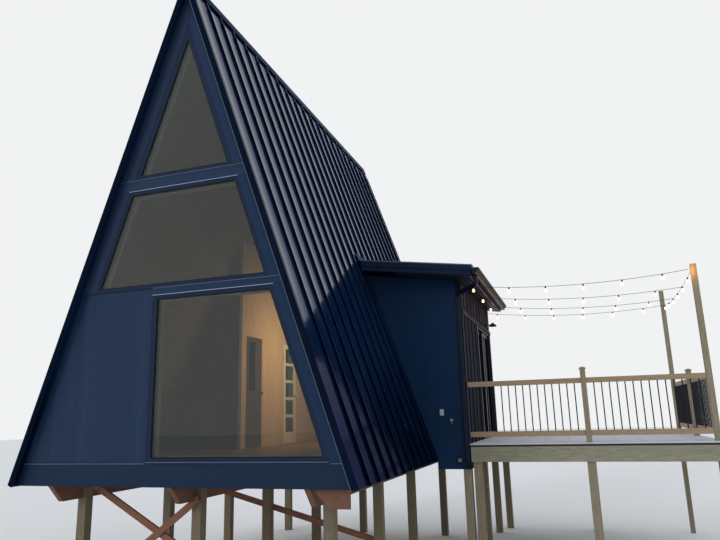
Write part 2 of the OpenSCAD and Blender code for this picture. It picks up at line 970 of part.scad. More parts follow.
module gutter() {
    run = gutter_w - gutter_foot;
    rise = gutter_h - gutter_lip;
    level_t = gutter_t * norm([run, rise]) / rise;
    in_x = gutter_foot - level_t;
    in_w = gutter_w - gutter_t;
    color(coal) translate([gutter_x, 0, gutter_z])
    difference() {
        along_y(gutter_y0, gutter_y1)
            polygon([[0, 0], [gutter_foot, 0], [gutter_w, rise], [gutter_w, gutter_h], [0, gutter_h]]);
        along_y(gutter_y0 + gutter_t, gutter_y1 - gutter_t)
            polygon([[gutter_t, gutter_t], [in_x + gutter_t * run / rise, gutter_t],
                [in_w, (in_w - in_x) * rise / run], [in_w, gutter_h + 1], [gutter_t, gutter_h + 1]]);
    }
}

// The downspout drops from the gutter, slants back to the front wall and runs down it to its shoe
shoe_out = 112;
shoe_drop = 75;

module downspout() {
    a = [gutter_x + gutter_foot / 2, gutter_y0 + outlet_in, gutter_z];
    b = a - [0, 0, spout_drop];
    c = [wing_x - spout_in, wing_y0 - spout_d / 2, b[2] - spout_fall];
    d = [c[0], c[1], wing_z0 + spout_foot];
    e = d - [0, shoe_out, shoe_drop];
    slant = mitre(c - b);
    shoe = mitre(e - d);
    color(navy) skin(concat(spout_ring(a, [0, 0]), spout_ring(b, slant), spout_ring(c, slant),
        spout_ring(d, shoe), spout_ring(e, shoe)), 4);
}

// Rise of a mitre cut, for each unit sideways, between a plumb length and one along v
function mitre(v) = [v[0], v[1]] / (norm(v) - v[2]);

// The four corners of the downspout at p, cut to a mitre
function spout_ring(p, m) =
    [for (k = [[-1, -1], [1, -1], [1, 1], [-1, 1]])
        let (o = [k[0] * spout_w, k[1] * spout_d] / 2) p + [o[0], o[1], m * o]];

// A closed skin over rings of k points each
module skin(rings, k) {
    n = len(rings) / k;
    caps = [[for (j = [0 : k - 1]) j], [for (j = [k - 1 : -1 : 0]) (n - 1) * k + j]];
    walls = [for (i = [0 : n - 2], j = [0 : k - 1])
        let (a = i * k + j, b = i * k + (j + 1) % k) each [[a, b + k, b], [a, a + k, b + k]]];
    polyhedron(rings, concat(caps, walls));
}

// The patio door: an outer frame, a fixed leaf outside and a sliding leaf inside
module patio_frame() {
    color(coal) along_x(wing_inner_x, wing_x)
    difference() {
        translate([patio_y0, floor_z]) square([patio_w, patio_h]);
        translate([patio_y0 + patio_edge, floor_z + patio_edge])
            square([patio_w - 2 * patio_edge, patio_h - 2 * patio_edge]);
    }
}

module leaf_ring(y0, z0, z1, w) {
    difference() {
        translate([y0, z0]) square([w, z1 - z0]);
        translate([y0 + leaf_bar, z0 + leaf_bar]) square([w - 2 * leaf_bar, z1 - z0 - 2 * leaf_bar]);
    }
}

fixed_y0 = patio_y1 - patio_edge - leaf_w;
slide_y0 = patio_y0 + patio_edge + door_gap;

module patio_fixed_leaf() {
    color(coal) along_x(track_x - leaf_t, track_x)
        leaf_ring(fixed_y0, floor_z + patio_edge, patio_z1 - patio_edge, leaf_w);
}

module patio_fixed_glass() {
    color(pane) along_x(track_x - (leaf_t + glass_t) / 2, track_x - (leaf_t - glass_t) / 2)
        translate([fixed_y0 + leaf_bar, floor_z + patio_edge + leaf_bar])
            square([leaf_w - 2 * leaf_bar, patio_h - 2 * patio_edge - 2 * leaf_bar]);
}

slide_x = track_x - leaf_t - door_gap;
// The sliding leaf runs on two wheels and has a pull on each side
wheel_r = 16;
wheel_t = 12;
wheel_in = 120;
wheel_play = 0.3;
pull_h = 260;
pull_w = 22;
pull_out = 38;
grip_w = 10;
pull_up = 850;

module patio_sliding_leaf() {
    color(coal) {
        along_x(slide_x - leaf_t, slide_x) leaf_ring(slide_y0, leaf_z0, leaf_z1, leaf_w);
        for (y = [slide_y0 + wheel_in, slide_y0 + leaf_w - wheel_in])
            translate([slide_x - leaf_t / 2, y, floor_z + patio_edge + wheel_play + wheel_r])
                rotate([0, 90, 0]) cylinder(h = wheel_t, r = wheel_r, center = true, $fn = 32);
        pull(slide_x, 1);
        pull(slide_x - leaf_t, -1);
    }
}

module pull(x, side) {
    y0 = slide_y0 + (leaf_bar - pull_w) / 2;
    z0 = floor_z + pull_up;
    translate([x, y0 + pull_w, z0]) rotate([90, 0, 0]) linear_extrude(pull_w)
        polygon([[0, 0], [side * pull_out, pull_w], [side * pull_out, pull_h - pull_w], [0, pull_h],
            [0, pull_h - pull_w], [side * (pull_out - grip_w), pull_h - 2 * pull_w],
            [side * (pull_out - grip_w), 2 * pull_w], [0, pull_w]]);
}

module patio_sliding_glass() {
    color(pane) along_x(slide_x - (leaf_t + glass_t) / 2, slide_x - (leaf_t - glass_t) / 2)
        translate([slide_y0 + leaf_bar, leaf_z0 + leaf_bar])
            square([leaf_w - 2 * leaf_bar, leaf_z1 - leaf_z0 - 2 * leaf_bar]);
}

// The deck's rim boards, the ledger on the wing's wall and the joists between them
rim_z = frame_top - joist_h;

module deck_frame() {
    inner_y0 = deck_y0 + joist_t + seat;
    inner_y1 = deck_y1 - joist_t - seat;
    color(timber)
    difference() {
        union() {
            box([wing_x, deck_y0, rim_z], [deck_x, deck_y0 + joist_t, frame_top]);
            box([wing_x, deck_y1 - joist_t, rim_z], [deck_x, deck_y1, frame_top]);
            for (x = [wing_x : joist_step : tall_x - joist_t])
                box([x, inner_y0, rim_z], [x + joist_t, inner_y1, frame_top]);
            box([deck_x - joist_t, inner_y0, rim_z], [deck_x, inner_y1, frame_top]);
        }
        tall_squares(rim_z - 1);
    }
}

module tall_squares(z0) {
    for (y = tall_y)
        box([tall_x, y, z0], [tall_x + tall_w, y + tall_w, deck_z + 1]);
}

module deck_boards() {
    color(deck_grey)
    difference() {
        box([wing_x, deck_y0 - board_lip, frame_top],
            [deck_x + board_lip, deck_y1 + board_lip, deck_z]);
        tall_squares(frame_top - 1);
    }
}

// Posts under the deck and the wing, and the two tall ones for the lights
module deck_posts() {
    wing_post_x = wing_x - pier_w;
    color(timber) {
        for (x = [wing_x + joist_t, mid_post_x - pier_w / 2], y = [tall_y[0], tall_y[1] + tall_w - pier_w])
            box([x, y, 0], [x + pier_w, y + pier_w, rim_z]);
        for (y = [wing_y0, (wing_y0 + wing_y1) / 2, wing_y1 - face_t - pier_w])
            box([wing_post_x, y, 0], [wing_x, y + pier_w, wing_z0]);
        box([tall_x, tall_y[0], 0], [tall_x + tall_w, tall_y[0] + tall_w, deck_z + tall_front]);
        box([tall_x, tall_y[1], 0], [tall_x + tall_w, tall_y[1] + tall_w, deck_z + tall_rear]);
    }
}

// A railing post on the deck
module rail_post(x, y) {
    box([x - post_w / 2, y - post_w / 2, deck_z], [x + post_w / 2, y + post_w / 2, deck_z + post_top]);
}

// Top and bottom rails between two corners of a run
module rails(a, b) {
    low = deck_z + rail_gap;
    high = deck_z + rail_top - rail_h;
    for (z = [low, high])
        box([a[0], a[1], z], [b[0], b[1], z + rail_h]);
}

front_rail_y = deck_y0 + rail_line;
side_rail_x = deck_x - rail_line;

module front_rail() {
    y0 = front_rail_y - rail_t / 2;
    color(pine) {
        rails([wing_x, y0], [tall_x, y0 + rail_t]);
        rail_post(mid_post_x, front_rail_y);
    }
}

module side_rail() {
    x0 = side_rail_x - rail_t / 2;
    color(pine) {
        rails([x0, tall_y[0] + tall_w], [x0 + rail_t, tall_y[1]]);
        rail_post(side_rail_x, deck_y0 + side_post_y);
    }
}

// A row of round balusters between the rails, from p to q
module balusters(p, q) {
    len = norm(q - p);
    count = floor(len / bal_step);
    start = (len - (count - 1) * bal_step) / 2;
    z0 = deck_z + rail_gap + rail_h;
    for (i = [0 : count - 1])
        translate(concat(p + (q - p) * (start + i * bal_step) / len, [z0]))
            cylinder(h = rail_top - 2 * rail_h - rail_gap, d = bal_d, $fn = 16);
}

module front_balusters() {
    color(coal) {
        balusters([wing_x, front_rail_y], [mid_post_x - post_w / 2, front_rail_y]);
        balusters([mid_post_x + post_w / 2, front_rail_y], [tall_x, front_rail_y]);
    }
}

module side_balusters() {
    y = deck_y0 + side_post_y;
    color(coal) {
        balusters([side_rail_x, tall_y[0] + tall_w], [side_rail_x, y - post_w / 2]);
        balusters([side_rail_x, y + post_w / 2], [side_rail_x, tall_y[1]]);
    }
}

// Strings of bulbs hang from hooks on the wing's wall. The first one reaches the front
// tall post, the others end at clips on a wire between the two tall posts.
cord_sides = 8;
cord_steps = 24;
clip_w = 16;
cord_gap = 1;
hook_x = wing_x + hook_len + cord_gap;
post_hook_x = tall_x - hook_len - cord_gap;
hook_z = deck_z + hook_up;
end_z = deck_z + post_hook_up;
string_y = [tall_y[0] + tall_w / 2, deck_y0 + second_string, deck_y0 + third_string,
    deck_y0 + fourth_string];
wire_x = tall_x + tall_w / 4;
wire_y0 = tall_y[0] + tall_w + hook_len + cord_gap;
wire_y1 = tall_y[1] - hook_len - cord_gap;
clip_x = wire_x - wire_d / 2 - cord_gap - clip_w;

// Points of a line that sags between a and b
function hang(a, b, sag) =
    [for (i = [0 : cord_steps]) let (t = i / cord_steps) a + (b - a) * t - [0, 0, 4 * sag * t * (1 - t)]];
function wire_at(y) = let (t = (y - wire_y0) / (wire_y1 - wire_y0)) end_z - 4 * wire_sag * t * (1 - t);

// A tube along points in an upright plane whose level normal is side
module tube(pts, d, side) {
    n = len(pts);
    k = cord_sides;
    rings = [for (i = [0 : n - 1])
        let (t = pts[min(i + 1, n - 1)] - pts[max(i - 1, 0)], u = cross(side, t) / norm(t))
        for (j = [0 : k - 1]) pts[i] + d / 2 * (cos(360 * j / k) * side + sin(360 * j / k) * u)];
    skin(rings, k);
}

module light_string(i, x1, z1) {
    color(coal) tube(hang([hook_x, string_y[i], hook_z], [x1, string_y[i], z1], string_sag),
        string_d, [0, 1, 0]);
}

module light_string_1() {
    light_string(0, post_hook_x, end_z);
}

module light_string_2() {
    light_string(1, clip_x - cord_gap, wire_at(string_y[1]));
}

module light_string_3() {
    light_string(2, clip_x - cord_gap, wire_at(string_y[2]));
}

module light_string_4() {
    light_string(3, clip_x - cord_gap, wire_at(string_y[3]));
}

module side_wire() {
    color(coal) tube(hang([wire_x, wire_y0, end_z], [wire_x, wire_y1, end_z], wire_sag),
        wire_d, [-1, 0, 0]);
}

module rod_x(x, y, z) {
    translate([x, y, z]) rotate([0, 90, 0]) cylinder(h = hook_len, d = hook_d, $fn = 16);
}

module light_hooks() {
    color(zinc) {
        for (y = string_y)
            rod_x(wing_x, y, hook_z);
        rod_x(tall_x - hook_len, string_y[0], end_z);
        for (i = [1, 2, 3])
            translate([clip_x, string_y[i] - clip_w / 2, wire_at(string_y[i]) - clip_w / 2])
                cube(clip_w);
        for (y = [tall_y[0] + tall_w, tall_y[1] - hook_len])
            translate([wire_x, y + hook_len, end_z]) rotate([90, 0, 0])
                cylinder(h = hook_len, d = hook_d, $fn = 16);
    }
}

foundation_posts();
floor_beams();
cross_braces();
cabin_floor();
front_boards();
front_panels();
front_wall();
front_rake_boards();
front_window_frames();
front_glass();
roof_frame_left();
roof_frame_right();
roof_metal_left();
roof_metal_right();
rake_trims();
ridge_cap();
rear_wall();
rear_panels();
rear_boards();
rear_rake_boards();
rear_window_frames();
rear_glass();
front_partition();
side_partition();
partition_top();
door_hinges();
hall_door();
hall_door_glass();
room_door();
room_door_glass();
wing_floor();
wing_front_wall();
wing_side_wall();
wing_door_header();
wing_rear_wall();
wing_roof();
wing_fascia();
gutter();
downspout();
patio_frame();
patio_fixed_leaf();
patio_fixed_glass();
patio_sliding_leaf();
patio_sliding_glass();
deck_frame();
deck_boards();
deck_posts();
front_rail();
side_rail();
front_balusters();
side_balusters();
light_string_1();
light_string_2();
light_string_3();
light_string_4();
side_wire();
light_hooks();
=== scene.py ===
import math

import bmesh
import bpy
from mathutils import Euler, Matrix, Vector


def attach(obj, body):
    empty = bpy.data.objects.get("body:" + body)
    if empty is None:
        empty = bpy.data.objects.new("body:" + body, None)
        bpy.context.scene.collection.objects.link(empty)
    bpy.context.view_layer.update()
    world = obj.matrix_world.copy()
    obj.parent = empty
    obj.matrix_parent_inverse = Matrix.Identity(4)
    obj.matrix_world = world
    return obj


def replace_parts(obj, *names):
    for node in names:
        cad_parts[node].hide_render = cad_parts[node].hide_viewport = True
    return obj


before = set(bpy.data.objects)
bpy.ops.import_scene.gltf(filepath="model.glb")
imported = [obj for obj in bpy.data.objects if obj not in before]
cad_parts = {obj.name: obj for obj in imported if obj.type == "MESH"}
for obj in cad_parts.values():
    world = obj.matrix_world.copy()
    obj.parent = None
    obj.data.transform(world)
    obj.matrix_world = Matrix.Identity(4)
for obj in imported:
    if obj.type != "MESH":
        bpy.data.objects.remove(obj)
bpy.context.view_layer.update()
print("frame loaded,", len(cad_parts), "nodes")

# Metres in the part's frame: Z up from the ground, +Y into the cabin, +X towards the wing and deck.
cabin = {"base": 1.8, "halfWidth": 2.52, "apex": 7.3, "front": -0.678, "rear": 7.552, "overhang": 0.105}
wing = {"front": 3.702, "rear": 7.552, "side": 3.11, "bottom": 1.661, "joinX": 1.2369, "joinZ": 5.517,
        "fall": 0.142, "thick": 0.2, "eave": 3.39, "over": 0.519}
tall = {"x": 7.003, "width": 0.089, "rows": (3.74, 8.025)}
peakZ = cabin["base"] + cabin["apex"]
slope = cabin["apex"] / cabin["halfWidth"]
roofAngle = math.atan(slope)
sinRoof, cosRoof = math.sin(roofAngle), math.cos(roofAngle)
roofFront, roofRear = cabin["front"] - cabin["overhang"], cabin["rear"] + cabin["overhang"]
wingRoofFront = wing["front"] - wing["over"]
skinGap = 0.002  # keeps thin skins from touching what they end at


def halfAt(z, layer=0.0):  # half width of the gable at height z, inside a layer measured square to the slope
    return (peakZ - z) / slope - layer / sinRoof


def wingTop(x):
    return wing["joinZ"] - wing["fall"] * (x - wing["joinX"])


def wingUnder(x):
    return wingTop(x) - wing["thick"]


def linkObject(name, data):
    thing = bpy.data.objects.new(name, data)
    bpy.context.scene.collection.objects.link(thing)
    return thing


# where the photo was taken from: the turns in degrees, the lens and the sensor in mm
photoView = {"place": (5.033, -7.842, 2.6375), "yaw": 18.614, "pitch": 12.98, "roll": -1.521, "lens": 31.472,
             "sensor": 36, "near": 0.05, "far": 400}


def makeCamera(view):
    yaw, pitch, roll = (math.radians(view[k]) for k in ("yaw", "pitch", "roll"))
    ahead = Vector((-math.sin(yaw) * math.cos(pitch), math.cos(yaw) * math.cos(pitch), math.sin(pitch)))
    side = Vector((math.cos(yaw), math.sin(yaw), 0))
    up = side.cross(ahead)
    turned = side * math.cos(roll) + up * math.sin(roll)
    upright = up * math.cos(roll) - side * math.sin(roll)
    data = bpy.data.cameras.new("photoCamera")
    data.lens, data.sensor_width = view["lens"], view["sensor"]
    data.clip_start, data.clip_end = view["near"], view["far"]
    camera = linkObject("photoCamera", data)
    camera.matrix_world = Matrix.Translation(view["place"]) @ Matrix((turned, upright, -ahead)).transposed().to_4x4()
    bpy.context.scene.camera = camera


makeCamera(photoView)
print("camera placed")

# strings of bulbs and the wire between the tall posts, at the places of their solids
strings = {"thickness": 0.008, "sag": 0.12, "hookX": 3.156, "hookZ": 4.945, "endZ": 4.895, "steps": 24,
           "rows": (3.7845, 5.002, 6.202, 7.442), "postX": 6.957, "clipX": 7.0047}
wire = {"thickness": 0.005, "sag": 0.11, "x": 7.0253, "ends": (3.875, 7.979)}
stringRuns = []


def hangRun(name, node, start, end, size):
    # a round curve that sags between its two ends
    a, b, sag, steps = Vector(start), Vector(end), size["sag"], strings["steps"]
    points = [a.lerp(b, t) - Vector((0, 0, 4 * sag * t * (1 - t))) for t in (i / steps for i in range(steps + 1))]
    data = bpy.data.curves.new(name, "CURVE")
    data.dimensions = "3D"
    data.bevel_depth, data.bevel_resolution, data.use_fill_caps = 1.0, 3, True
    line = data.splines.new("POLY")
    line.points.add(len(points) - 1)
    for spot, point in zip(line.points, points):
        spot.co, spot.radius = (*point, 1), size["thickness"] / 2
    piece = linkObject(name, data)
    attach(piece, "cabin")
    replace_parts(piece, node)
    stringRuns.append({"piece": piece, "points": points, "start": start, "end": end, "size": size, "bulbs": [],
                       "length": sum((q - p).length for p, q in zip(points, points[1:]))})


def hangStrings():
    near, far = wire["ends"]
    for i, y in enumerate(strings["rows"]):
        # the first string ends on its tall post, the others in clips on the sagging wire
        t = (y - near) / (far - near)
        clip = (strings["clipX"], y, strings["endZ"] - 4 * wire["sag"] * t * (1 - t))
        end = clip if i else (strings["postX"], y, strings["endZ"])
        hangRun("bulbString%d" % (i + 1), "light_string_%d" % (i + 1), (strings["hookX"], y, strings["hookZ"]), end,
                strings)
    hangRun("postWire", "side_wire", (wire["x"], near, strings["endZ"]), (wire["x"], far, strings["endZ"]), wire)


hangStrings()
print("strings hung")


def linear(text):  # an sRGB hex value as linear colour
    channels = [int(text[i:i + 2], 16) / 255 for i in (1, 3, 5)]
    return [c / 12.92 if c <= 0.04045 else ((c + 0.055) / 1.055) ** 2.4 for c in channels] + [1.0]


def addNode(tree, kind, inputs=None, **settings):
    # an input takes a number, a socket, or a node, whose first socket in use is linked
    node = tree.nodes.new(kind)
    for name, value in settings.items():
        setattr(node, name, value)
    for key, value in (inputs or {}).items():
        if isinstance(value, bpy.types.Node):
            value = next(socket for socket in value.outputs if socket.enabled)
        if isinstance(value, bpy.types.NodeSocket):
            tree.links.new(value, node.inputs[key])
        else:
            node.inputs[key].default_value = value
    return node


def startMaterial(name):
    material = bpy.data.materials.new(name)
    material.use_nodes = True
    material.node_tree.nodes.clear()
    return material, material.node_tree


def endMaterial(material, sockets, height=None, relief=0.0):
    # relief: how deep the height's pattern is, in metres
    tree = material.node_tree
    if height:
        sockets["Normal"] = addNode(tree, "ShaderNodeBump", {"Distance": relief, "Height": height})
    addNode(tree, "ShaderNodeOutputMaterial", {"Surface": addNode(tree, "ShaderNodeBsdfPrincipled", sockets)})
    return material


def placeAlong(tree, along, across, stretch, tilt=0.0):
    # Object coordinates in grains of so many mm across, drawn out along one axis and shifted from board to board
    place = addNode(tree, "ShaderNodeTexCoord").outputs["Object"]
    tone = addNode(tree, "ShaderNodeAttribute", attribute_name="tone").outputs["Fac"]
    shift = addNode(tree, "ShaderNodeMath", {0: tone, 1: 31.7}, operation="MULTIPLY")
    if tilt:
        place = addNode(tree, "ShaderNodeMapping", {"Vector": place, "Rotation": (0, math.radians(tilt), 0)})
    moved = addNode(tree, "ShaderNodeVectorMath", {0: place, 1: shift}, operation="ADD")
    rate = [1000 / across] * 3
    rate["xyz".index(along)] /= stretch
    return addNode(tree, "ShaderNodeVectorMath", {0: moved, 1: rate}, operation="MULTIPLY"), tone


def pastStep(tree, axis, step, offset):
    # how far a point is past the last step along the axis
    place = addNode(tree, "ShaderNodeTexCoord").outputs["Object"]
    parts = addNode(tree, "ShaderNodeSeparateXYZ", {0: place})
    moved = addNode(tree, "ShaderNodeMath", {0: parts.outputs["xyz".index(axis)], 1: offset}, operation="ADD")
    return addNode(tree, "ShaderNodeMath", {0: moved, 1: step}, operation="MODULO")


def cutJoints(tree, height, depth, axis, step, width, start=0.0):
    # 1 in the joint between boards and 0 on the board, then the height with the joints cut into it
    share = pastStep(tree, axis, step, 50 - start)
    joint = addNode(tree, "ShaderNodeMapRange", {0: share, 1: width * 0.6, 2: width, 3: 1.0, 4: 0.0})
    return joint, addNode(tree, "ShaderNodeMath", {0: joint, 1: -depth, 2: height}, operation="MULTIPLY_ADD")


def layColours(tree, colour, layers):
    # each layer covers what lies under it by its share
    colour = linear(colour)
    for share, cover in layers:
        colour = addNode(tree, "ShaderNodeMix", {0: share, 6: colour, 7: linear(cover)}, data_type="RGBA")
    return colour


def woodFinish(name, dark, light, along, across=9, stretch=22, roughness=0.7, relief=0.0008, knots=0.0,
               knotColour="#3a2a20", toneShare=0.25, cool=None, lines=None, tilt=0.0):
    # Sawn or planed boards: early and late growth bands, knots and slow changes from board to board; the bands are
    # 7 mm across or more where real ones are 2 to 6 mm, so that they still show from where the photo was taken
    material, tree = startMaterial(name)
    place, tone = placeAlong(tree, along, across, stretch, tilt)
    grain = addNode(tree, "ShaderNodeTexNoise", {"Vector": place, "Scale": 1, "Detail": 6, "Roughness": 0.62,
                                                 "Distortion": 0.7})
    slow = addNode(tree, "ShaderNodeTexNoise", {"Vector": place, "Scale": 0.09, "Detail": 2})
    height = bands = addNode(tree, "ShaderNodeMapRange", {0: grain, 1: 0.32, 2: 0.68})
    slowShare = addNode(tree, "ShaderNodeMapRange", {0: slow, 1: 0.3, 2: 0.7, 3: 0.0, 4: 0.5})
    toneDark = addNode(tree, "ShaderNodeMath", {0: tone, 1: toneShare}, operation="MULTIPLY")
    layers = [(bands, light), (slowShare, cool or dark), (toneDark, dark)]
    if knots:
        knotPlace = addNode(tree, "ShaderNodeVectorMath", {0: place, 1: (0.08, 0.08, 0.08)}, operation="MULTIPLY")
        cell = addNode(tree, "ShaderNodeTexVoronoi", {"Vector": knotPlace, "Scale": 1.0, "Randomness": 1.0})
        knot = addNode(tree, "ShaderNodeMapRange", {0: cell, 1: 0.05, 2: 0.16, 3: knots, 4: 0.0})
        layers.append((knot, knotColour))
    if lines:
        joint, height = cutJoints(tree, bands, 4.0, *lines)
        layers.append((joint, knotColour))
    rough = addNode(tree, "ShaderNodeMapRange", {0: grain, 1: 0.3, 2: 0.7, 3: roughness + 0.08, 4: roughness - 0.08})
    return endMaterial(material, {"Base Color": layColours(tree, dark, layers), "Roughness": rough, "IOR": 1.45,
                                  "Specular IOR Level": 0.35}, height, relief)


def paintedBoard(name, colour, worn, along, tilt=0.0, lines=None, roughness=0.5, relief=0.0009, gloss=0.16):
    # Engineered wood siding with an embossed grain under satin acrylic paint, a little chalky where rain runs
    material, tree = startMaterial(name)
    place = placeAlong(tree, along, 7, 26, tilt)[0]
    height = grain = addNode(tree, "ShaderNodeTexNoise", {"Vector": place, "Scale": 1, "Detail": 5,
                                                          "Roughness": 0.65, "Distortion": 0.5})
    cloud = addNode(tree, "ShaderNodeTexNoise", {"Vector": place, "Scale": 0.03, "Detail": 4, "Roughness": 0.6})
    chalk = addNode(tree, "ShaderNodeMapRange", {0: cloud, 1: 0.35, 2: 0.75, 3: 0.0, 4: 0.7})
    deep = addNode(tree, "ShaderNodeMapRange", {0: grain, 1: 0.3, 2: 0.45, 3: 0.35, 4: 0.0})
    layers = [(chalk, worn), (deep, "#0b1017")]
    if lines:
        joint, height = cutJoints(tree, grain, 3.0, *lines)
        layers.append((joint, "#070a0f"))
    rough = addNode(tree, "ShaderNodeMapRange", {0: cloud, 1: 0.3, 2: 0.7, 3: roughness - 0.05, 4: roughness + 0.12})
    return endMaterial(material, {"Base Color": layColours(tree, colour, layers), "Roughness": rough, "IOR": 1.48,
                                  "Specular IOR Level": gloss}, height, relief)


def coatedMetal(name, colour, dusty, roughness, relief=0.0004, along="z", edge=None, gloss=0.5, metal=1.0,
                sheenStreaks=None):
    # Paint baked on sheet steel or aluminium: smooth, with waves of 0.4 by 1.4 m as in wide pans, and dust specks
    # drawn coarse, at 4 mm, to show; edge tints what it mirrors at a slant; above the first height in sheenStreaks a
    # lacquer is laid as painted sheen that mirrors the sky, in streaks strongest along the front edge of each pan
    material, tree = startMaterial(name)
    place = addNode(tree, "ShaderNodeTexCoord").outputs["Object"]
    rate = [2.6, 2.6, 2.6]
    rate["xyz".index(along)] = 0.7
    drawn = addNode(tree, "ShaderNodeVectorMath", {0: place, 1: rate}, operation="MULTIPLY")
    slow = addNode(tree, "ShaderNodeTexNoise", {"Vector": drawn, "Scale": 1, "Detail": 3, "Roughness": 0.5})
    fine = addNode(tree, "ShaderNodeTexNoise", {"Vector": place, "Scale": 260, "Detail": 2})
    dust = addNode(tree, "ShaderNodeMapRange", {0: slow, 1: 0.4, 2: 0.75, 3: 0.0, 4: 0.5})
    rough = addNode(tree, "ShaderNodeMapRange", {0: slow, 1: 0.3, 2: 0.7, 3: roughness - 0.04, 4: roughness + 0.08})
    sockets = {"Base Color": layColours(tree, colour, [(dust, dusty)]), "Roughness": rough}
    if edge:
        sockets.update({"Metallic": metal, "Specular Tint": linear(edge)})
    else:
        sockets.update({"IOR": 1.5, "Specular IOR Level": gloss})
    # painted sheen: the lacquer goes only where streaks of mirrored sky should show, rising towards the ridge and
    # strongest at each pan's front edge
    if sheenStreaks:
        parts = addNode(tree, "ShaderNodeSeparateXYZ", {0: place})
        level = addNode(tree, "ShaderNodeMath", {0: parts.outputs["Z"], 1: slow}, operation="ADD")
        highSheen = addNode(tree, "ShaderNodeMapRange", {0: level, 1: sheenStreaks["from"], 2: sheenStreaks["to"]})
        step = sheenStreaks["step"]
        share = pastStep(tree, "y", step, 50 * step - sheenStreaks["first"])
        fade = addNode(tree, "ShaderNodeMapRange", {0: share, 1: 0.1 * step, 2: 0.62 * step, 3: 1.0,
                                                    4: sheenStreaks["least"]})
        sockets.update({
            "Metallic": addNode(tree, "ShaderNodeMapRange", {0: level, 1: 2.8, 2: 4.2, 3: sheenStreaks["foot"], 4: metal}),
            "Coat Weight": addNode(tree, "ShaderNodeMath", {0: highSheen, 1: fade}, operation="MULTIPLY"),
            "Coat Roughness": 0.07, "Coat IOR": sheenStreaks["coat"]})
    height = addNode(tree, "ShaderNodeMath", {0: fine, 1: 0.02, 2: slow}, operation="MULTIPLY_ADD")
    return endMaterial(material, sockets, height, relief)


def clearGlass(name, tint, silvered=0.0):
    # Insulated float glass: a faint green cast and long soft waves in what it mirrors; silvered is solar film
    material, tree = startMaterial(name)
    place = addNode(tree, "ShaderNodeTexCoord").outputs["Object"]
    wave = addNode(tree, "ShaderNodeTexNoise", {"Vector": place, "Scale": 1.4, "Detail": 1})
    sockets = {"Base Color": linear(tint), "Roughness": 0.0, "IOR": 1.5, "Transmission Weight": 1.0}
    if silvered:
        sockets.update({"Metallic": silvered, "Specular Tint": linear("#333c4a")})
    return endMaterial(material, sockets, wave, 0.0015)


def plainRubber(name, colour):
    # Moulded PVC: dull, with a pebble of 2 mm, coarser than the real one so that it shows
    material, tree = startMaterial(name)
    place = addNode(tree, "ShaderNodeTexCoord").outputs["Object"]
    fine = addNode(tree, "ShaderNodeTexNoise", {"Vector": place, "Scale": 500, "Detail": 2})
    return endMaterial(material, {"Base Color": layColours(tree, colour, [(fine, "#1b1c1e")]), "Roughness": 0.6,
                                  "IOR": 1.5}, fine, 0.0002)


def litGlass(name, colour, strength):
    # A warm filament behind frosted bulb glass: it glows evenly and shows no wire
    return endMaterial(startMaterial(name)[0], {"Base Color": linear(colour), "Roughness": 0.2,
                                                "Emission Color": linear(colour), "Emission Strength": strength})


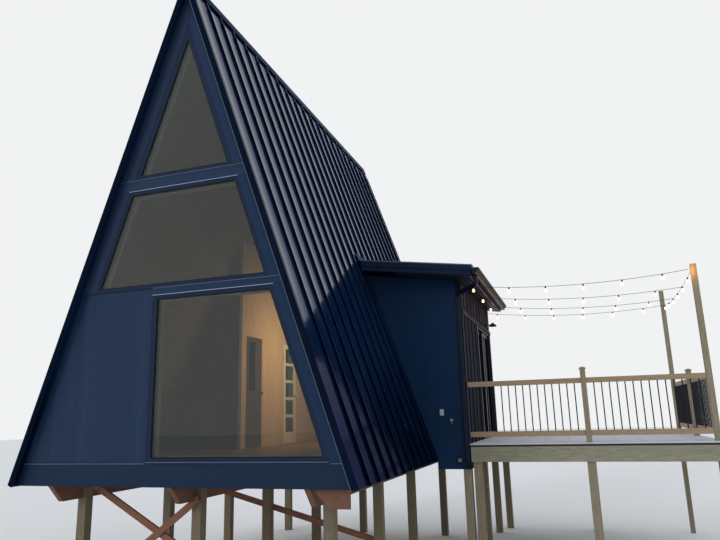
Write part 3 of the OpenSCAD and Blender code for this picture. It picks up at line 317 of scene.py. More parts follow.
rakeTilt = math.degrees(roofAngle)
planed = {"knots": 0.7, "relief": 0.0004}
grooved = {"across": 12, "stretch": 30, "relief": 0.0012}
finish = {
    # satin navy siding: each direction has its own grain, and each face is painted the blue of the light or
    # shade that falls on it, the battens paler where the bulbs light them and the corner boards darker in shade
    "navyLevel": paintedBoard("navySidingLevel", "#12253c", "#1b3049", "x"),
    "navyUpright": paintedBoard("navySidingUpright", "#1d2f48", "#293b55", "z"),
    "navyLength": paintedBoard("navySidingLength", "#081b35", "#0e2240", "y"),
    "navyBand": paintedBoard("navyBandBoard", "#1c2f48", "#283b54", "x"),
    "navyRakeRight": paintedBoard("navyRakeRight", "#182c49", "#213757", "x", tilt=-rakeTilt),
    "navyRakeLeft": paintedBoard("navyRakeLeft", "#1e2c44", "#29374e", "x", tilt=rakeTilt),
    "navyWingFront": paintedBoard("navyPanelWingFront", "#052746", "#0a2c4c", "z"),
    "navyWingSide": paintedBoard("navyPanelWingSide", "#0d1322", "#141c2c", "z", lines=("y", 0.406, 0.006, 0.2),
                                 roughness=0.7, gloss=0.08),
    "navyBatten": paintedBoard("navyBattenUpright", "#2c2c36", "#36353f", "z", roughness=0.7, gloss=0.08),
    "navyCorner": paintedBoard("navyCornerBoard", "#0a1829", "#10202f", "z", roughness=0.6, gloss=0.12),
    "navyFrame": paintedBoard("navyWindowFrame", "#15243a", "#1b2b42", "z", relief=0.0002),
    "soffitDark": paintedBoard("navySoffit", "#131d2c", "#1b2738", "y"),
    # glossy baked paint on steel pans, its lacquer laid as painted sheen streaks towards the ridge
    "roofPans": coatedMetal("bakedPaintSteel", "#153563", "#1d3b62", 0.12, relief=0.003, edge="#3f5f80", metal=0.62,
                            sheenStreaks={"from": 3.5, "to": 4.7, "coat": 1.7, "least": 0.14, "foot": 0.86,
                                    "first": -0.2836, "step": 0.4064}),
    "seamCoat": coatedMetal("foldedSteelSeam", "#0d1829", "#142032", 0.28, edge="#a6b0c1"),
    "wingPans": coatedMetal("bakedPaintSteelWing", "#0d1626", "#152031", 0.3, relief=0.002, along="x",
                            edge="#a8b1c0"),
    # duller coats on aluminium and small fittings
    "frameCoat": coatedMetal("powderCoatAluminium", "#0b0f16", "#12171f", 0.42, gloss=0.2),
    "gutterCoat": coatedMetal("bronzeGutterCoat", "#211b17", "#2e2721", 0.5, along="y", gloss=0.1),
    "navySpout": coatedMetal("downspoutCoat", "#0a1526", "#111d30", 0.42, gloss=0.2),
    # partly the aluminium's own colour, partly painted sheen on its edges
    "drip": coatedMetal("dripEdgeAluminium", "#46556f", "#55647d", 0.3),
    # painted highlight: a paler copy of the drip aluminium for the lit head drips
    "dripHighlight": coatedMetal("dripHighlightEdge", "#8497b3", "#93a4bd", 0.3),
    "steel": coatedMetal("zincPlatedSteel", "#80848a", "#6b6f75", 0.4),
    "paleStrip": coatedMetal("paleDoorEdge", "#a8a0a4", "#b6aeb2", 0.5, gloss=0.2),
    "moulding": coatedMetal("paleMoulding", "#a9aeb4", "#989da3", 0.45),
    "brass": coatedMetal("agedBrass", "#8a7444", "#6f5d3a", 0.35),
    # painted highlight: warm light along the gutter's front foot
    "gutterLitEdge": coatedMetal("gutterEdgeHighlight", "#8f7b68", "#9f8b78", 0.4),
    # painted highlight: the lit foot of the fascia
    "soffitVent": coatedMetal("paleHighlightStrip", "#7d7788", "#8d8797", 0.5, along="y", gloss=0.2),
    # clear panes, the inner door's smoked ones, and the patio door's film, which mirrors and hides the room
    "glass": clearGlass("insulatedGlass", "#b0bcb3"),
    "doorPane": clearGlass("smokedDoorPane", "#6f756c"),
    "patioGlass": clearGlass("tintedDoorGlass", "#1a2330", silvered=0.97),
    # pressure-treated pine, weathered green-grey
    "postWood": woodFinish("treatedPineUpright", "#5f5443", "#85775f", "z", knots=0.8, cool="#6e6a58"),
    # painted light: a paler copy of the posts' treated pine for the lit tall deck posts
    "litPostWood": woodFinish("treatedPineLitPost", "#736a54", "#9c9179", "z", knots=0.8, cool="#827e6a"),
    "rimWood": woodFinish("treatedPineLevel", "#6f6b56", "#a5a089", "x", knots=0.85, cool="#7b7d68"),
    # red-brown stain on sawn pine
    "beamWood": woodFinish("stainedPineLength", "#5d4034", "#80594a", "y", knots=0.7, cool="#6a4b3e"),
    "braceWood": woodFinish("stainedPineBrace", "#6b4636", "#93654f", "x", knots=0.7, cool="#7b5543", tilt=35),
    # new kiln-dried pine rails
    "railWood": woodFinish("planedPineLevel", "#8b765d", "#b29b7c", "x", roughness=0.6, **planed),
    "railWoodLength": woodFinish("planedPineLength", "#8b765d", "#b29b7c", "y", roughness=0.6, **planed),
    "railPostWood": woodFinish("planedPineUpright", "#7b6f5b", "#a0937b", "z", roughness=0.62, **planed),
    # silvered deck boards, painted paler still for the sky's sheen on them at a slant
    "deckWood": woodFinish("silveredPineSkySheen", "#b2b4bb", "#d6d9df", "x", across=7, stretch=30, knots=0.5,
                           knotColour="#7c7a77", toneShare=0.5, roughness=0.75),
    # grooved boards, oak, stain and enamel inside
    "paleBoards": woodFinish("whitewashedPineUpright", "#b99a7c", "#d3b799", "z", knots=0.25, knotColour="#8c6c50",
                             lines=("y", 0.14, 0.006), roughness=0.55, **grooved),
    "paleEnd": woodFinish("whitewashedPineFront", "#b99a7c", "#d3b799", "z", knots=0.25, knotColour="#8c6c50",
                          lines=("x", 0.14, 0.006), roughness=0.55, **grooved),
    "duskBoards": woodFinish("greyPinePartition", "#5f5a55", "#7a746c", "z", knots=0.2, knotColour="#4a4540",
                             lines=("x", 0.14, 0.006), roughness=0.55, **grooved),
    # painted shade: the lining is darker and greyer than the pine, to keep the room dim
    "liningBoards": woodFinish("pineLiningShaded", "#6b6056", "#877a6c", "y", knots=0.4, knotColour="#4d4238",
                               lines=("z", 0.133, 0.006), roughness=0.5, **grooved),
    "floorBoards": woodFinish("oakFloor", "#6d4f36", "#94704f", "y", across=10, stretch=28, knots=0.2,
                              lines=("x", 0.127, 0.004), roughness=0.42, relief=0.0006),
    "jamb": woodFinish("paintedJamb", "#a9ab9c", "#bfc0b2", "z", across=20, stretch=30, roughness=0.45,
                       relief=0.0002),
    "darkDoor": woodFinish("walnutStainDoor", "#3d342c", "#55483c", "z", across=10, stretch=26, roughness=0.45,
                           relief=0.0004),
    "whiteDoor": woodFinish("enamelDoor", "#cfc3b2", "#ddd3c3", "z", across=30, stretch=20, roughness=0.35,
                            relief=0.0002),
    "cordSheath": plainRubber("pvcCordSheath", "#0f1011"),
    "bulb": litGlass("warmBulbGlass", "#ffc987", 5.0),
}

# the finish of each of the part's own nodes
dressing = {
    "postWood": "foundation_posts", "beamWood": "floor_beams", "braceWood": "cross_braces",
    "floorBoards": "cabin_floor wing_floor", "navyLevel": "front_boards rear_boards",
    "navyUpright": "front_panels rear_panels", "paleEnd": "front_wall rear_wall",
    "navyRakeRight": "front_rake_boards rear_rake_boards", "navyFrame": "front_window_frames rear_window_frames",
    "glass": "front_glass rear_glass hall_door_glass", "liningBoards": "roof_frame_left roof_frame_right",
    "roofPans": "roof_metal_left roof_metal_right rake_trims", "seamCoat": "ridge_cap",
    "duskBoards": "front_partition", "paleBoards": "side_partition partition_top",
    "steel": "door_hinges light_hooks", "darkDoor": "hall_door", "whiteDoor": "room_door",
    "doorPane": "room_door_glass", "navyWingFront": "wing_front_wall wing_rear_wall",
    "navyWingSide": "wing_side_wall wing_door_header", "wingPans": "wing_roof", "navyLength": "wing_fascia",
    "gutterCoat": "gutter", "navySpout": "downspout", "patioGlass": "patio_fixed_glass patio_sliding_glass",
    "frameCoat": "patio_frame patio_fixed_leaf patio_sliding_leaf front_balusters side_balusters",
    "rimWood": "deck_frame", "deckWood": "deck_boards", "litPostWood": "deck_posts", "railWood": "front_rail",
    "railWoodLength": "side_rail",
}
for key, nodeNames in dressing.items():
    for nodeName in nodeNames.split():
        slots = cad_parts[nodeName].data.materials
        slots.clear()
        slots.append(finish[key])
for run in stringRuns:
    run["piece"].data.materials.append(finish["cordSheath"])
print("materials made:", len(finish))


def addPiece(name, mesh, key):
    piece = linkObject(name, mesh)
    mesh.materials.clear()
    mesh.materials.append(finish[key])
    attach(piece, "cabin")
    return piece


def smoothEdges(mesh, ease=0.0, outwards=False):
    # faces turned outwards, then a small bevel on every edge
    form = bmesh.new()
    form.from_mesh(mesh)
    if outwards:
        bmesh.ops.recalc_face_normals(form, faces=form.faces)
    if ease:
        bmesh.ops.bevel(form, geom=form.edges, offset=ease, segments=1, affect="EDGES", clamp_overlap=True)
    form.to_mesh(mesh)
    form.free()
    return mesh


def meshFrom(name, points, faces, ease=0.0):
    mesh = bpy.data.meshes.new(name)
    mesh.from_pydata([tuple(p) for p in points], [], faces)
    return smoothEdges(mesh, ease, outwards=True)


def prismFaces(n, first=0):
    # two outlines of n points each, closed and joined by sides
    faces = [tuple(range(n)), tuple(range(2 * n - 1, n - 1, -1))]
    faces += [(i, (i + 1) % n, (i + 1) % n + n, i + n) for i in range(n)]
    return [tuple(first + i for i in face) for face in faces]


def bakedMesh(holder):
    shown = bpy.context.evaluated_depsgraph_get()
    mesh = bpy.data.meshes.new_from_object(holder.evaluated_get(shown), preserve_all_data_layers=True,
                                           depsgraph=shown)
    holder.modifiers.clear()
    return mesh


def startTree(name, sockets):
    # rows of boards, fixings and bulbs are geometry nodes, each baked to a plain mesh of its own
    tree = bpy.data.node_groups.new(name, "GeometryNodeTree")
    for label, kind in {**sockets, "Material": "Material"}.items():
        tree.interface.new_socket(name=label, in_out="INPUT", socket_type="NodeSocket" + kind)
    tree.interface.new_socket(name="Geometry", in_out="OUTPUT", socket_type="NodeSocketGeometry")
    return tree, tree.nodes.new("NodeGroupInput").outputs


def endTree(tree, given, geometry):
    real = addNode(tree, "GeometryNodeRealizeInstances", {0: geometry})
    painted = addNode(tree, "GeometryNodeSetMaterial", {"Geometry": real, "Material": given["Material"]})
    addNode(tree, "NodeGroupOutput", {0: painted})
    return tree


def bakeTree(name, tree, values, key, ease=0.0):
    holder = linkObject(name + "Maker", bpy.data.meshes.new(name + "Empty"))
    modifier = holder.modifiers.new("rows", "NODES")
    modifier.node_group = tree
    found = {item.name: item.identifier for item in tree.interface.items_tree if item.in_out == "INPUT"}
    for label, value in {**values, "Material": finish[key]}.items():
        modifier[found[label]] = value
    mesh = bakedMesh(holder)
    mesh.name = name
    bpy.data.objects.remove(holder)
    return addPiece(name, smoothEdges(mesh, ease) if ease else mesh, key)


def makeBoardRow():
    # Count boards of one size from Start, each a Step further, turned by Turn, each with its own tone
    tree, given = startTree("boardRow", {"Size": "Vector", "Start": "Vector", "Step": "Vector", "Turn": "Rotation",
                                         "Count": "Int", "Seed": "Int"})
    line = addNode(tree, "GeometryNodeMeshLine", {"Count": given["Count"], "Start Location": given["Start"],
                                                  "Offset": given["Step"]}, mode="OFFSET")
    board = addNode(tree, "GeometryNodeMeshCube", {"Size": given["Size"]})
    rows = addNode(tree, "GeometryNodeInstanceOnPoints", {"Points": line, "Instance": board,
                                                          "Rotation": given["Turn"]})
    chance = addNode(tree, "FunctionNodeRandomValue", {"Seed": given["Seed"]}, data_type="FLOAT")
    toned = addNode(tree, "GeometryNodeStoreNamedAttribute", {"Geometry": rows, "Name": "tone", "Value": chance},
                    data_type="FLOAT", domain="INSTANCE")
    return endTree(tree, given, toned)


def makeDotGrid():
    # A grid of low screw heads, Count of them a Step apart in each of the Rows
    tree, given = startTree("dotGrid", {"Radius": "Float", "Height": "Float", "Start": "Vector", "Step": "Vector",
                                        "Row Step": "Vector", "Count": "Int", "Rows": "Int", "Sides": "Int"})
    line = addNode(tree, "GeometryNodeMeshLine", {"Count": given["Count"], "Start Location": given["Start"],
                                                  "Offset": given["Step"]}, mode="OFFSET")
    rows = addNode(tree, "GeometryNodeMeshLine", {"Count": given["Rows"], "Offset": given["Row Step"]},
                   mode="OFFSET")
    spots = addNode(tree, "GeometryNodeInstanceOnPoints", {"Points": rows, "Instance": line})
    grid = addNode(tree, "GeometryNodeRealizeInstances", {0: spots})
    narrow = addNode(tree, "ShaderNodeMath", {0: given["Radius"], 1: 0.7}, operation="MULTIPLY")
    head = addNode(tree, "GeometryNodeMeshCone", {"Vertices": given["Sides"], "Radius Bottom": given["Radius"],
                                                  "Radius Top": narrow, "Depth": given["Height"]})
    return endTree(tree, given, addNode(tree, "GeometryNodeInstanceOnPoints", {"Points": grid, "Instance": head}))


boardRow, dotGrid = makeBoardRow(), makeDotGrid()


def boards(name, key, size, start, step=(1, 0, 0), count=1, turn=(0, 0, 0), seed=1, ease=0.002, slot=None):
    values = {"Size": size, "Start": start, "Step": step, "Turn": Euler(turn), "Count": count, "Seed": seed}
    return bakeTree(name, boardRow, values, key, ease)


deck = {"x0": 3.11, "x1": 7.145, "y0": 3.687, "y1": 8.167, "top": 2.095, "thick": 0.025, "boardWidth": 0.139,
        "gap": 0.005, "hole": (-0.095, 0.105), "shadowHigh": 0.032, "shadowThick": 0.002, "rim": 0.015}
screws = {"first": 3.54, "step": 0.406, "lift": 0.0004, "rows": {"deckScrewsNear": 0.22, "deckScrewsFar": 0.78},
          "head": {"Radius": 0.0045, "Height": 0.002, "Count": 9, "Sides": 8}}


def makeDeck():
    x0, x1, y0, span = deck["x0"], deck["x1"], deck["y0"], deck["y1"] - deck["y0"]
    count = round(span / (deck["boardWidth"] + deck["gap"]))
    pitch = (span + deck["gap"]) / count
    width = pitch - deck["gap"]
    floor = boards("deckPlanks", "deckWood", (x1 - x0 - skinGap, width, deck["thick"] - skinGap / 2),
                   ((x0 + x1) / 2, y0 + width / 2, deck["top"] - deck["thick"] / 2), (0, pitch, 0), count, seed=7,
                   ease=0.003)
    cutPosts(floor)
    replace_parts(floor, "deck_boards")
    for name, share in screws["rows"].items():
        start = (screws["first"], y0 + width * share, deck["top"] + screws["lift"])
        bakeTree(name, dotGrid, {**screws["head"], "Start": start, "Step": (screws["step"], 0, 0),
                                 "Row Step": (0, pitch, 0), "Rows": count}, "steel")


def cutPosts(piece):
    # the tall posts go through the planks
    x0, x1 = tall["x"], tall["x"] + tall["width"]
    for y0 in tall["rows"]:
        y1 = y0 + tall["width"]
        points = [(x, y, deck["top"] + z) for z in deck["hole"]
                  for x, y in ((x0, y0), (x1, y0), (x1, y1), (x0, y1))]
        tool = linkObject("postHole", meshFrom("postHole", points, prismFaces(4)))
        cut = piece.modifiers.new("hole", "BOOLEAN")
        cut.operation, cut.object, cut.solver = "DIFFERENCE", tool, "EXACT"
        piece.data = bakedMesh(piece)
        bpy.data.objects.remove(tool)


def makeRimShadowStrip():
    # a black strip folded over the rim under the planks: painted shadow of the planks' overhang
    high, thick, rim = deck["shadowHigh"], deck["shadowThick"], deck["rim"]
    x0, x1, y0, y1 = deck["x0"] + skinGap / 2, deck["x1"] - rim, deck["y0"] + rim, deck["y1"] - rim
    z = deck["top"] - deck["thick"] - high / 2
    for name, size, start in (
            ("rimTapeFront", (x1 - x0, thick, high), ((x0 + x1) / 2, y0 - thick / 2, z)),
            ("rimTapeSide", (thick, y1 - y0, high), (x1 + thick / 2, (y0 + y1) / 2, z))):
        boards(name, "cordSheath", size, start, ease=0.0005, slot="deck_board")


makeDeck()
makeRimShadowStrip()

railing = {"low": 2.205, "high": 3.078, "height": 0.089, "thick": 0.038, "post": 0.089, "postTop": 3.32,
           "midX": 5.113, "frontY": 3.766, "sideX": 7.066, "sideY": 5.927}
postCap = {"half": 0.054, "drop": 0.008, "lip": 0.016, "rise": 0.022}


def makeRailing():
    h, t, post, top = (railing[k] for k in ("height", "thick", "post", "postTop"))
    x0, x1 = wing["side"], tall["x"]
    y0, y1 = tall["rows"][0] + tall["width"], tall["rows"][1]
    z = railing["low"] + h / 2
    for name, size, middle, key, (x, y) in (
            ("front", (x1 - x0, t, h), ((x0 + x1) / 2, railing["frontY"], z), "railWood",
             (railing["midX"], railing["frontY"])),
            ("side", (t, y1 - y0, h), (railing["sideX"], (y0 + y1) / 2, z), "railWoodLength",
             (railing["sideX"], railing["sideY"]))):
        rails = boards(name + "Rails", key, size, middle, (0, 0, railing["high"] - railing["low"]), 2, seed=3,
                       ease=0.004)
        stand = boards(name + "RailPost", "railPostWood", (post, post, top - deck["top"]),
                       (x, y, (top + deck["top"]) / 2), seed=5, ease=0.004)
        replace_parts(rails, name + "_rail")
        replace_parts(stand, name + "_rail")
        makeCap(name + "PostCap", x, y, top)


def makeCap(name, x, y, z):
    # a low pyramid cap with a lip
    half, lip = postCap["half"], postCap["lip"]
    points = [(x + sx * half, y + sy * half, z + h) for h in (-postCap["drop"], lip)
              for sx, sy in ((-1, -1), (1, -1), (1, 1), (-1, 1))] + [(x, y, z + lip + postCap["rise"])]
    faces = [face for face in prismFaces(4) if face != (7, 6, 5, 4)] + [(i + 4, (i + 1) % 4 + 4, 8) for i in range(4)]
    addPiece(name, meshFrom(name, points, faces), "railPostWood")


makeRailing()
print("deck dressed")


def extrudeAlong(name, outline, axis, a, b, key, ease=0.0, slot=None):
    # outline: points in the two other axes, drawn out along axis from a to b
    def spot(p, s):
        return {"y": (p[0], s, p[1]), "x": (s, p[0], p[1]), "z": (p[0], p[1], s)}[axis]

    points = [spot(p, s) for s in (a, b) for p in outline]
    return addPiece(name, meshFrom(name, points, prismFaces(len(outline)), ease), key)


def insetOutline(points, d):
    # convex outline, counter-clockwise, moved inwards by d
    n, moved = len(points), []
    for i in range(n):
        a, b, c = (Vector(points[(i + k - 1) % n]) for k in range(3))
        e, f = (b - a).normalized(), (c - b).normalized()
        inE, inF = Vector((-e.y, e.x)), Vector((-f.y, f.x))
        shift = (inE + inF) / (1 + inE.dot(inF))
        moved.append(tuple(b + shift * d))
    return moved


def ringPiece(name, outer, width, y0, y1, key):
    # a flat frame of one width inside the outline
    inner, n = insetOutline(outer, width), len(outer)
    points = [(x, y, z) for y in (y0, y1) for ring in (outer, inner) for x, z in ring]
    faces = []
    for i in range(n):
        j = (i + 1) % n
        faces += [(i, j, j + n, i + n), (i + 2 * n, i + 3 * n, j + 3 * n, j + 2 * n),
                  (i, i + 2 * n, j + 2 * n, j), (i + n, j + n, j + 3 * n, i + 3 * n)]
    return addPiece(name, meshFrom(name, points, faces), key)


def turnedProfile(name, outline, sides, place, axis="z"):
    # outline: (radius, distance) pairs, spun about an axis through place
    points, faces, n = [], [], len(outline)
    for k in range(sides):
        c, q = math.cos(2 * math.pi * k / sides), math.sin(2 * math.pi * k / sides)
        for r, h in outline:
            spot = {"z": (r * c, r * q, h), "y": (r * c, h, r * q), "x": (h, r * c, r * q)}[axis]
            points.append(Vector(place) + Vector(spot))
        for i in range(n - 1):
            a, b = k * n + i, (k + 1) % sides * n + i
            faces.append((a, b, b + 1, a + 1))
    faces += [tuple(k * n for k in range(sides)), tuple(k * n + n - 1 for k in reversed(range(sides)))]
    mesh = meshFrom(name, points, faces)
    for face in mesh.polygons:
        face.use_smooth = len(face.vertices) == 4
    return mesh


frontBoards = {"face": -0.678, "back": -0.643, "rake": 0.215, "joint": 0.001, "tip": 0.003, "windowLeft": -0.405,
               "skirt": (1.8, 2.092), "low": (4.32, 4.422), "up": (5.889, 6.054)}


def makeFrontBoards():
    skirt, low, up, wide = (frontBoards[k] for k in ("skirt", "low", "up", "rake"))

    def across(z, left=None):
        a, b = (-halfAt(h) if left is None else left for h in z)
        return [(a, z[0]), (halfAt(z[0]), z[0]), (halfAt(z[1]), z[1]), (b, z[1])]

    def rakeBoard(z0, z1):
        return [(halfAt(z0, wide), z0), (halfAt(z0), z0), (halfAt(z1), z1), (halfAt(z1, wide), z1)]

    def mirrored(outline):
        return [(-x, z) for x, z in reversed(outline)]

    middle = frontBoards["joint"]
    top = [(halfAt(up[1], wide), up[1]), (halfAt(up[1]), up[1]), (middle, peakZ - frontBoards["tip"]),
           (middle, peakZ - wide / cosRoof)]
    for name, outline, key, node in (
            ("skirtBoard", across(skirt), "navyLevel", "front_boards"),
            ("lowBandBoard", across(low, frontBoards["windowLeft"]), "navyBand", "front_boards"),
            ("upBandBoard", across(up), "navyBand", "front_boards"),
            ("rakeRightLow", rakeBoard(skirt[1], low[0]), "navyRakeRight", "front_rake_boards"),
            ("rakeRightMiddle", rakeBoard(low[1], up[0]), "navyRakeRight", "front_rake_boards"),
            ("rakeLeftMiddle", mirrored(rakeBoard(low[1], up[0])), "navyRakeLeft", "front_rake_boards"),
            ("rakeRightPeak", top, "navyRakeRight", "front_rake_boards"),
            ("rakeLeftPeak", mirrored(top), "navyRakeLeft", "front_rake_boards")):
        piece = extrudeAlong(name, insetOutline(outline, frontBoards["joint"]), "y", frontBoards["face"],
                             frontBoards["back"], key, ease=0.002)
        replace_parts(piece, node)


# bent aluminium over the skirt and the bands, its drip edge bright against the paint: the drip aluminium is painted
# paler for the sheen on its edges, and the head drips paler still as painted highlights
flashing = {
    "profile": [(-0.008, -0.006), (-0.005, -0.006), (-0.005, 0.0), (0.03, 0.004), (0.03, 0.007), (-0.008, 0.003)],
    "runs": (("skirtFlashingLeft", 2.0925, -halfAt(2.1), frontBoards["windowLeft"], "drip"),
             ("skirtFlashingRight", 2.0925, halfAt(2.1, frontBoards["rake"]), halfAt(2.1), "drip"),
             ("lowBandFlashing", 4.4225, frontBoards["windowLeft"], halfAt(4.43), "drip"),
             ("lowHeadDrip", 4.322, frontBoards["windowLeft"], halfAt(4.33, 0.2), "dripHighlight"),
             ("upBandFlashing", 6.0545, -halfAt(6.06), halfAt(6.06), "drip"),
             ("upHeadDrip", 5.891, -halfAt(5.9, 0.2), halfAt(5.9, 0.2), "dripHighlight")),
    "sill": [(-0.677, 2.1), (-0.69, 2.104), (-0.69, 2.112), (-0.66, 2.122), (-0.66, 2.1)],
    "sillEnds": (frontBoards["windowLeft"] + 0.01, halfAt(2.12, 0.225)),
}
# tongues that nearly fill the grooves between the upright panels, and a trim where they meet the window
tongues = {"first": -2.4175, "step": 0.203, "count": 10, "wide": 0.008, "deep": (-0.6585, -0.654), "foot": 2.093,
           "top": 4.421, "clear": 0.006}
cornerTrim = {"wide": 0.019, "deep": (-0.676, -0.66), "foot": 2.1, "top": 4.42}


def makeFrontFlashing():
    left = frontBoards["windowLeft"]
    for name, z, x0, x1, key in flashing["runs"]:
        extrudeAlong(name, [(frontBoards["face"] + a, z + b) for a, b in flashing["profile"]], "x", x0, x1, key)
    points, faces, wide, foot = [], [], tongues["wide"], tongues["foot"]
    for k in range(tongues["count"]):
        x = tongues["first"] + tongues["step"] * k
        top = min(tongues["top"], peakZ - slope * (abs(x) + tongues["clear"]))
        corners = ((x, foot), (x + wide, foot), (x + wide, top), (x, top))
        faces += prismFaces(4, len(points))
        points += [(a, y, z) for y in tongues["deep"] for a, z in corners]
    addPiece("panelTongues", meshFrom("panelTongues", points, faces), "navyUpright")
    front, back = cornerTrim["deep"]
    outline = [(left - cornerTrim["wide"], front), (left, front), (left, back), (left - cornerTrim["wide"], back)]
    extrudeAlong("panelCornerTrim", outline, "z", cornerTrim["foot"], cornerTrim["top"], "navyUpright", ease=0.001)
    extrudeAlong("sillNose", flashing["sill"], "x", *flashing["sillEnds"], "drip")


makeFrontBoards()
makeFrontFlashing()
print("front boarded")

battens = {"step": 0.406, "width": 0.045, "thick": 0.019, "first": 3.99, "head": 4.42, "headHeight": 0.085,
           "headThick": 0.022, "headShort": 0.04, "corner": 0.089, "cornerThick": 0.012, "door": (5.517, 7.347),
           "doorClear": 0.05, "rearClear": 0.1, "trimWide": 0.085, "trimThick": 0.02, "stripFoot": (5.552, 5.57),
           "stripHead": (5.473, 5.455), "stripDeep": (0.0005, 0.022)}


def makeBattens():
    b, side, front, rear = battens, wing["side"], wing["front"], wing["rear"]
    foot, head, top = deck["top"] + 2 * skinGap, b["head"], wingUnder(side) - skinGap
    bandTop = head + b["headHeight"]
    low = 1 + int((b["door"][0] - b["doorClear"] - b["first"]) / b["step"])
    high = 1 + int((rear - b["rearClear"] - b["first"]) / b["step"])
    thick, wide, lean = b["cornerThick"], b["corner"], b["trimThick"] / 2
    tallSize, tallMid = top - wing["bottom"], (top + wing["bottom"]) / 2
    doorSize, doorMid = (b["trimThick"], b["trimWide"], head - foot), (head + foot) / 2
    for name, key, size, start, count, seed in (
            ("sideBattensLow", "navyBatten", (b["thick"], b["width"], head - foot),
             (side + b["thick"] / 2, b["first"], doorMid), low, 2),
            ("sideBattensHigh", "navyBatten", (b["thick"], b["width"], top - bandTop),
             (side + b["thick"] / 2, b["first"], (top + bandTop) / 2), high, 3),
            ("sideHeadBoard", "navyBatten", (b["headThick"], rear - front - b["headShort"], b["headHeight"]),
             (side + b["headThick"] / 2, (rear + front) / 2, head + b["headHeight"] / 2), 1, 1),
            ("cornerBoardSide", "navyCorner", (thick, wide, tallSize),
             (side + thick / 2, front + wide / 2 - thick, tallMid), 1, 1),
            ("cornerBoardFront", "navyCorner", (wide, thick, tallSize),
             (side - wide / 2, front - thick / 2, tallMid), 1, 1),
            # upright boards beside the patio door
            ("doorTrimFront", "navyBatten", doorSize, (side + lean, b["door"][0] - b["width"], doorMid), 1, 4),
            ("doorTrimRear", "navyBatten", doorSize, (side + lean, b["door"][1] + b["width"], doorMid), 1, 4)):
        boards(name, key, size, start, (0, b["step"], 0), count, seed=seed)
    outline = [(y, foot) for y in b["stripFoot"]] + [(y, head) for y in b["stripHead"]]
    extrudeAlong("doorEdgeStrip", outline, "x", side + b["stripDeep"][0], side + b["stripDeep"][1], "paleStrip")


def sloped(line, xa, xb, low, high):  # an outline between two heights over a sloping line of the wing's roof
    return [(xa, line(xa) + low), (xb, line(xb) + low), (xb, line(xb) + high), (xa, line(xa) + high)]


soffit = {"thick": 0.01, "outer": 0.09, "gap": 0.004, "vent": (3.292, 3.304), "footHighlight": (3.37, 3.386),
          "frontLeft": 2.0, "frontCount": 3, "frontStep": 0.173, "frontJoint": 0.003}


def makeSoffits():
    t, gap = soffit["thick"], soffit["gap"]
    inner, split = wing["side"] + skinGap / 2, wing["eave"] - soffit["outer"]
    # a vent strip between the two soffit boards, and a pale strip along the fascia's foot, a painted highlight of the
    # light on that edge
    for name, xa, xb, low, high, key in (("soffitInner", inner, split - gap, -t, 0, "soffitDark"),
                                         ("soffitOuter", split, wing["eave"], -t, 0, "soffitDark"),
                                         ("soffitVent", *soffit["vent"], -t - gap, -t, "drip"),
                                         ("soffitChannel", *soffit["footHighlight"], -t - gap, -t, "soffitVent")):
        extrudeAlong(name, sloped(wingUnder, xa, xb, low, high), "y", wingRoofFront, roofRear, key)
    # boards under the front overhang run up the fall
    for i in range(soffit["frontCount"]):
        y = wingRoofFront + i * soffit["frontStep"]
        extrudeAlong("soffitFront%d" % i, sloped(wingUnder, soffit["frontLeft"], inner, -t, 0), "y",
                     y + soffit["frontJoint"], y + soffit["frontStep"] - soffit["frontJoint"], "soffitDark")


wingRoof = {"start": 0.1, "past": 0.04, "lead": 0.03, "seam": (0.012, 0.025), "seamStep": 0.4064, "seamCount": 11,
            "firstSeam": 0.2, "drip": (0.004, 0.045), "dripDown": 0.012, "edges": (1.34, 3.428),
            # foot and top over the roof's line, place before its front, thickness and finish
            "trims": {"frontDrip": (-0.016, 0.004, 0.041, 0.003, "drip"),
                      "fasciaStep": (-0.108, -0.1, 0.039, 0.018, "navyLevel")}}
apron = {"up": 0.16, "out": 0.14, "lift": 0.041, "thick": 0.003, "bend": 0.004}


def makeWingRoofTrim():
    w, tilt = wingRoof, math.atan(wing["fall"])
    x0, x1, y0 = wing["joinX"] + w["start"], wing["eave"] + w["past"], wingRoofFront - w["lead"]
    mid = (x0 + x1) / 2
    boards("wingSeams", "wingPans", ((x1 - x0) / math.cos(tilt), *w["seam"]),
           (mid, y0 + w["firstSeam"], wingTop(mid) + w["seam"][1] / 2), (0, w["seamStep"], 0), w["seamCount"],
           turn=(0, tilt, 0))
    # drip edges along the eave and over the front fascia
    boards("eaveDrip", "roofPans", (w["drip"][0], roofRear - y0, w["drip"][1]),
           (x1 + skinGap / 2, (y0 + roofRear) / 2, wingTop(x1) - w["dripDown"]))
    for name, (low, high, front, thick, key) in w["trims"].items():
        y = wingRoofFront - front
        extrudeAlong(name, sloped(wingTop, *w["edges"], low, high), "y", y, y + thick, key, slot="roof_metal")
    # apron flashing over the seams where the wing meets the roof
    thick, bend, outward = apron["thick"], apron["bend"], Vector((sinRoof, cosRoof))
    foot = Vector((halfAt(wing["joinZ"]) + apron["lift"] / sinRoof, wing["joinZ"]))
    top = foot + Vector((-cosRoof, sinRoof)) * apron["up"]
    end = foot + Vector((math.cos(tilt), -math.sin(tilt))) * apron["out"] + Vector((0, thick))
    outline = [foot, end, end + Vector((0, thick)), foot + outward * bend + Vector((bend / 2, bend)),
               top + outward * thick, top]
    extrudeAlong("apronFlashing", outline, "y", wingRoofFront + w["lead"], roofRear, "seamCoat")


makeBattens()
makeSoffits()
makeWingRoofTrim()

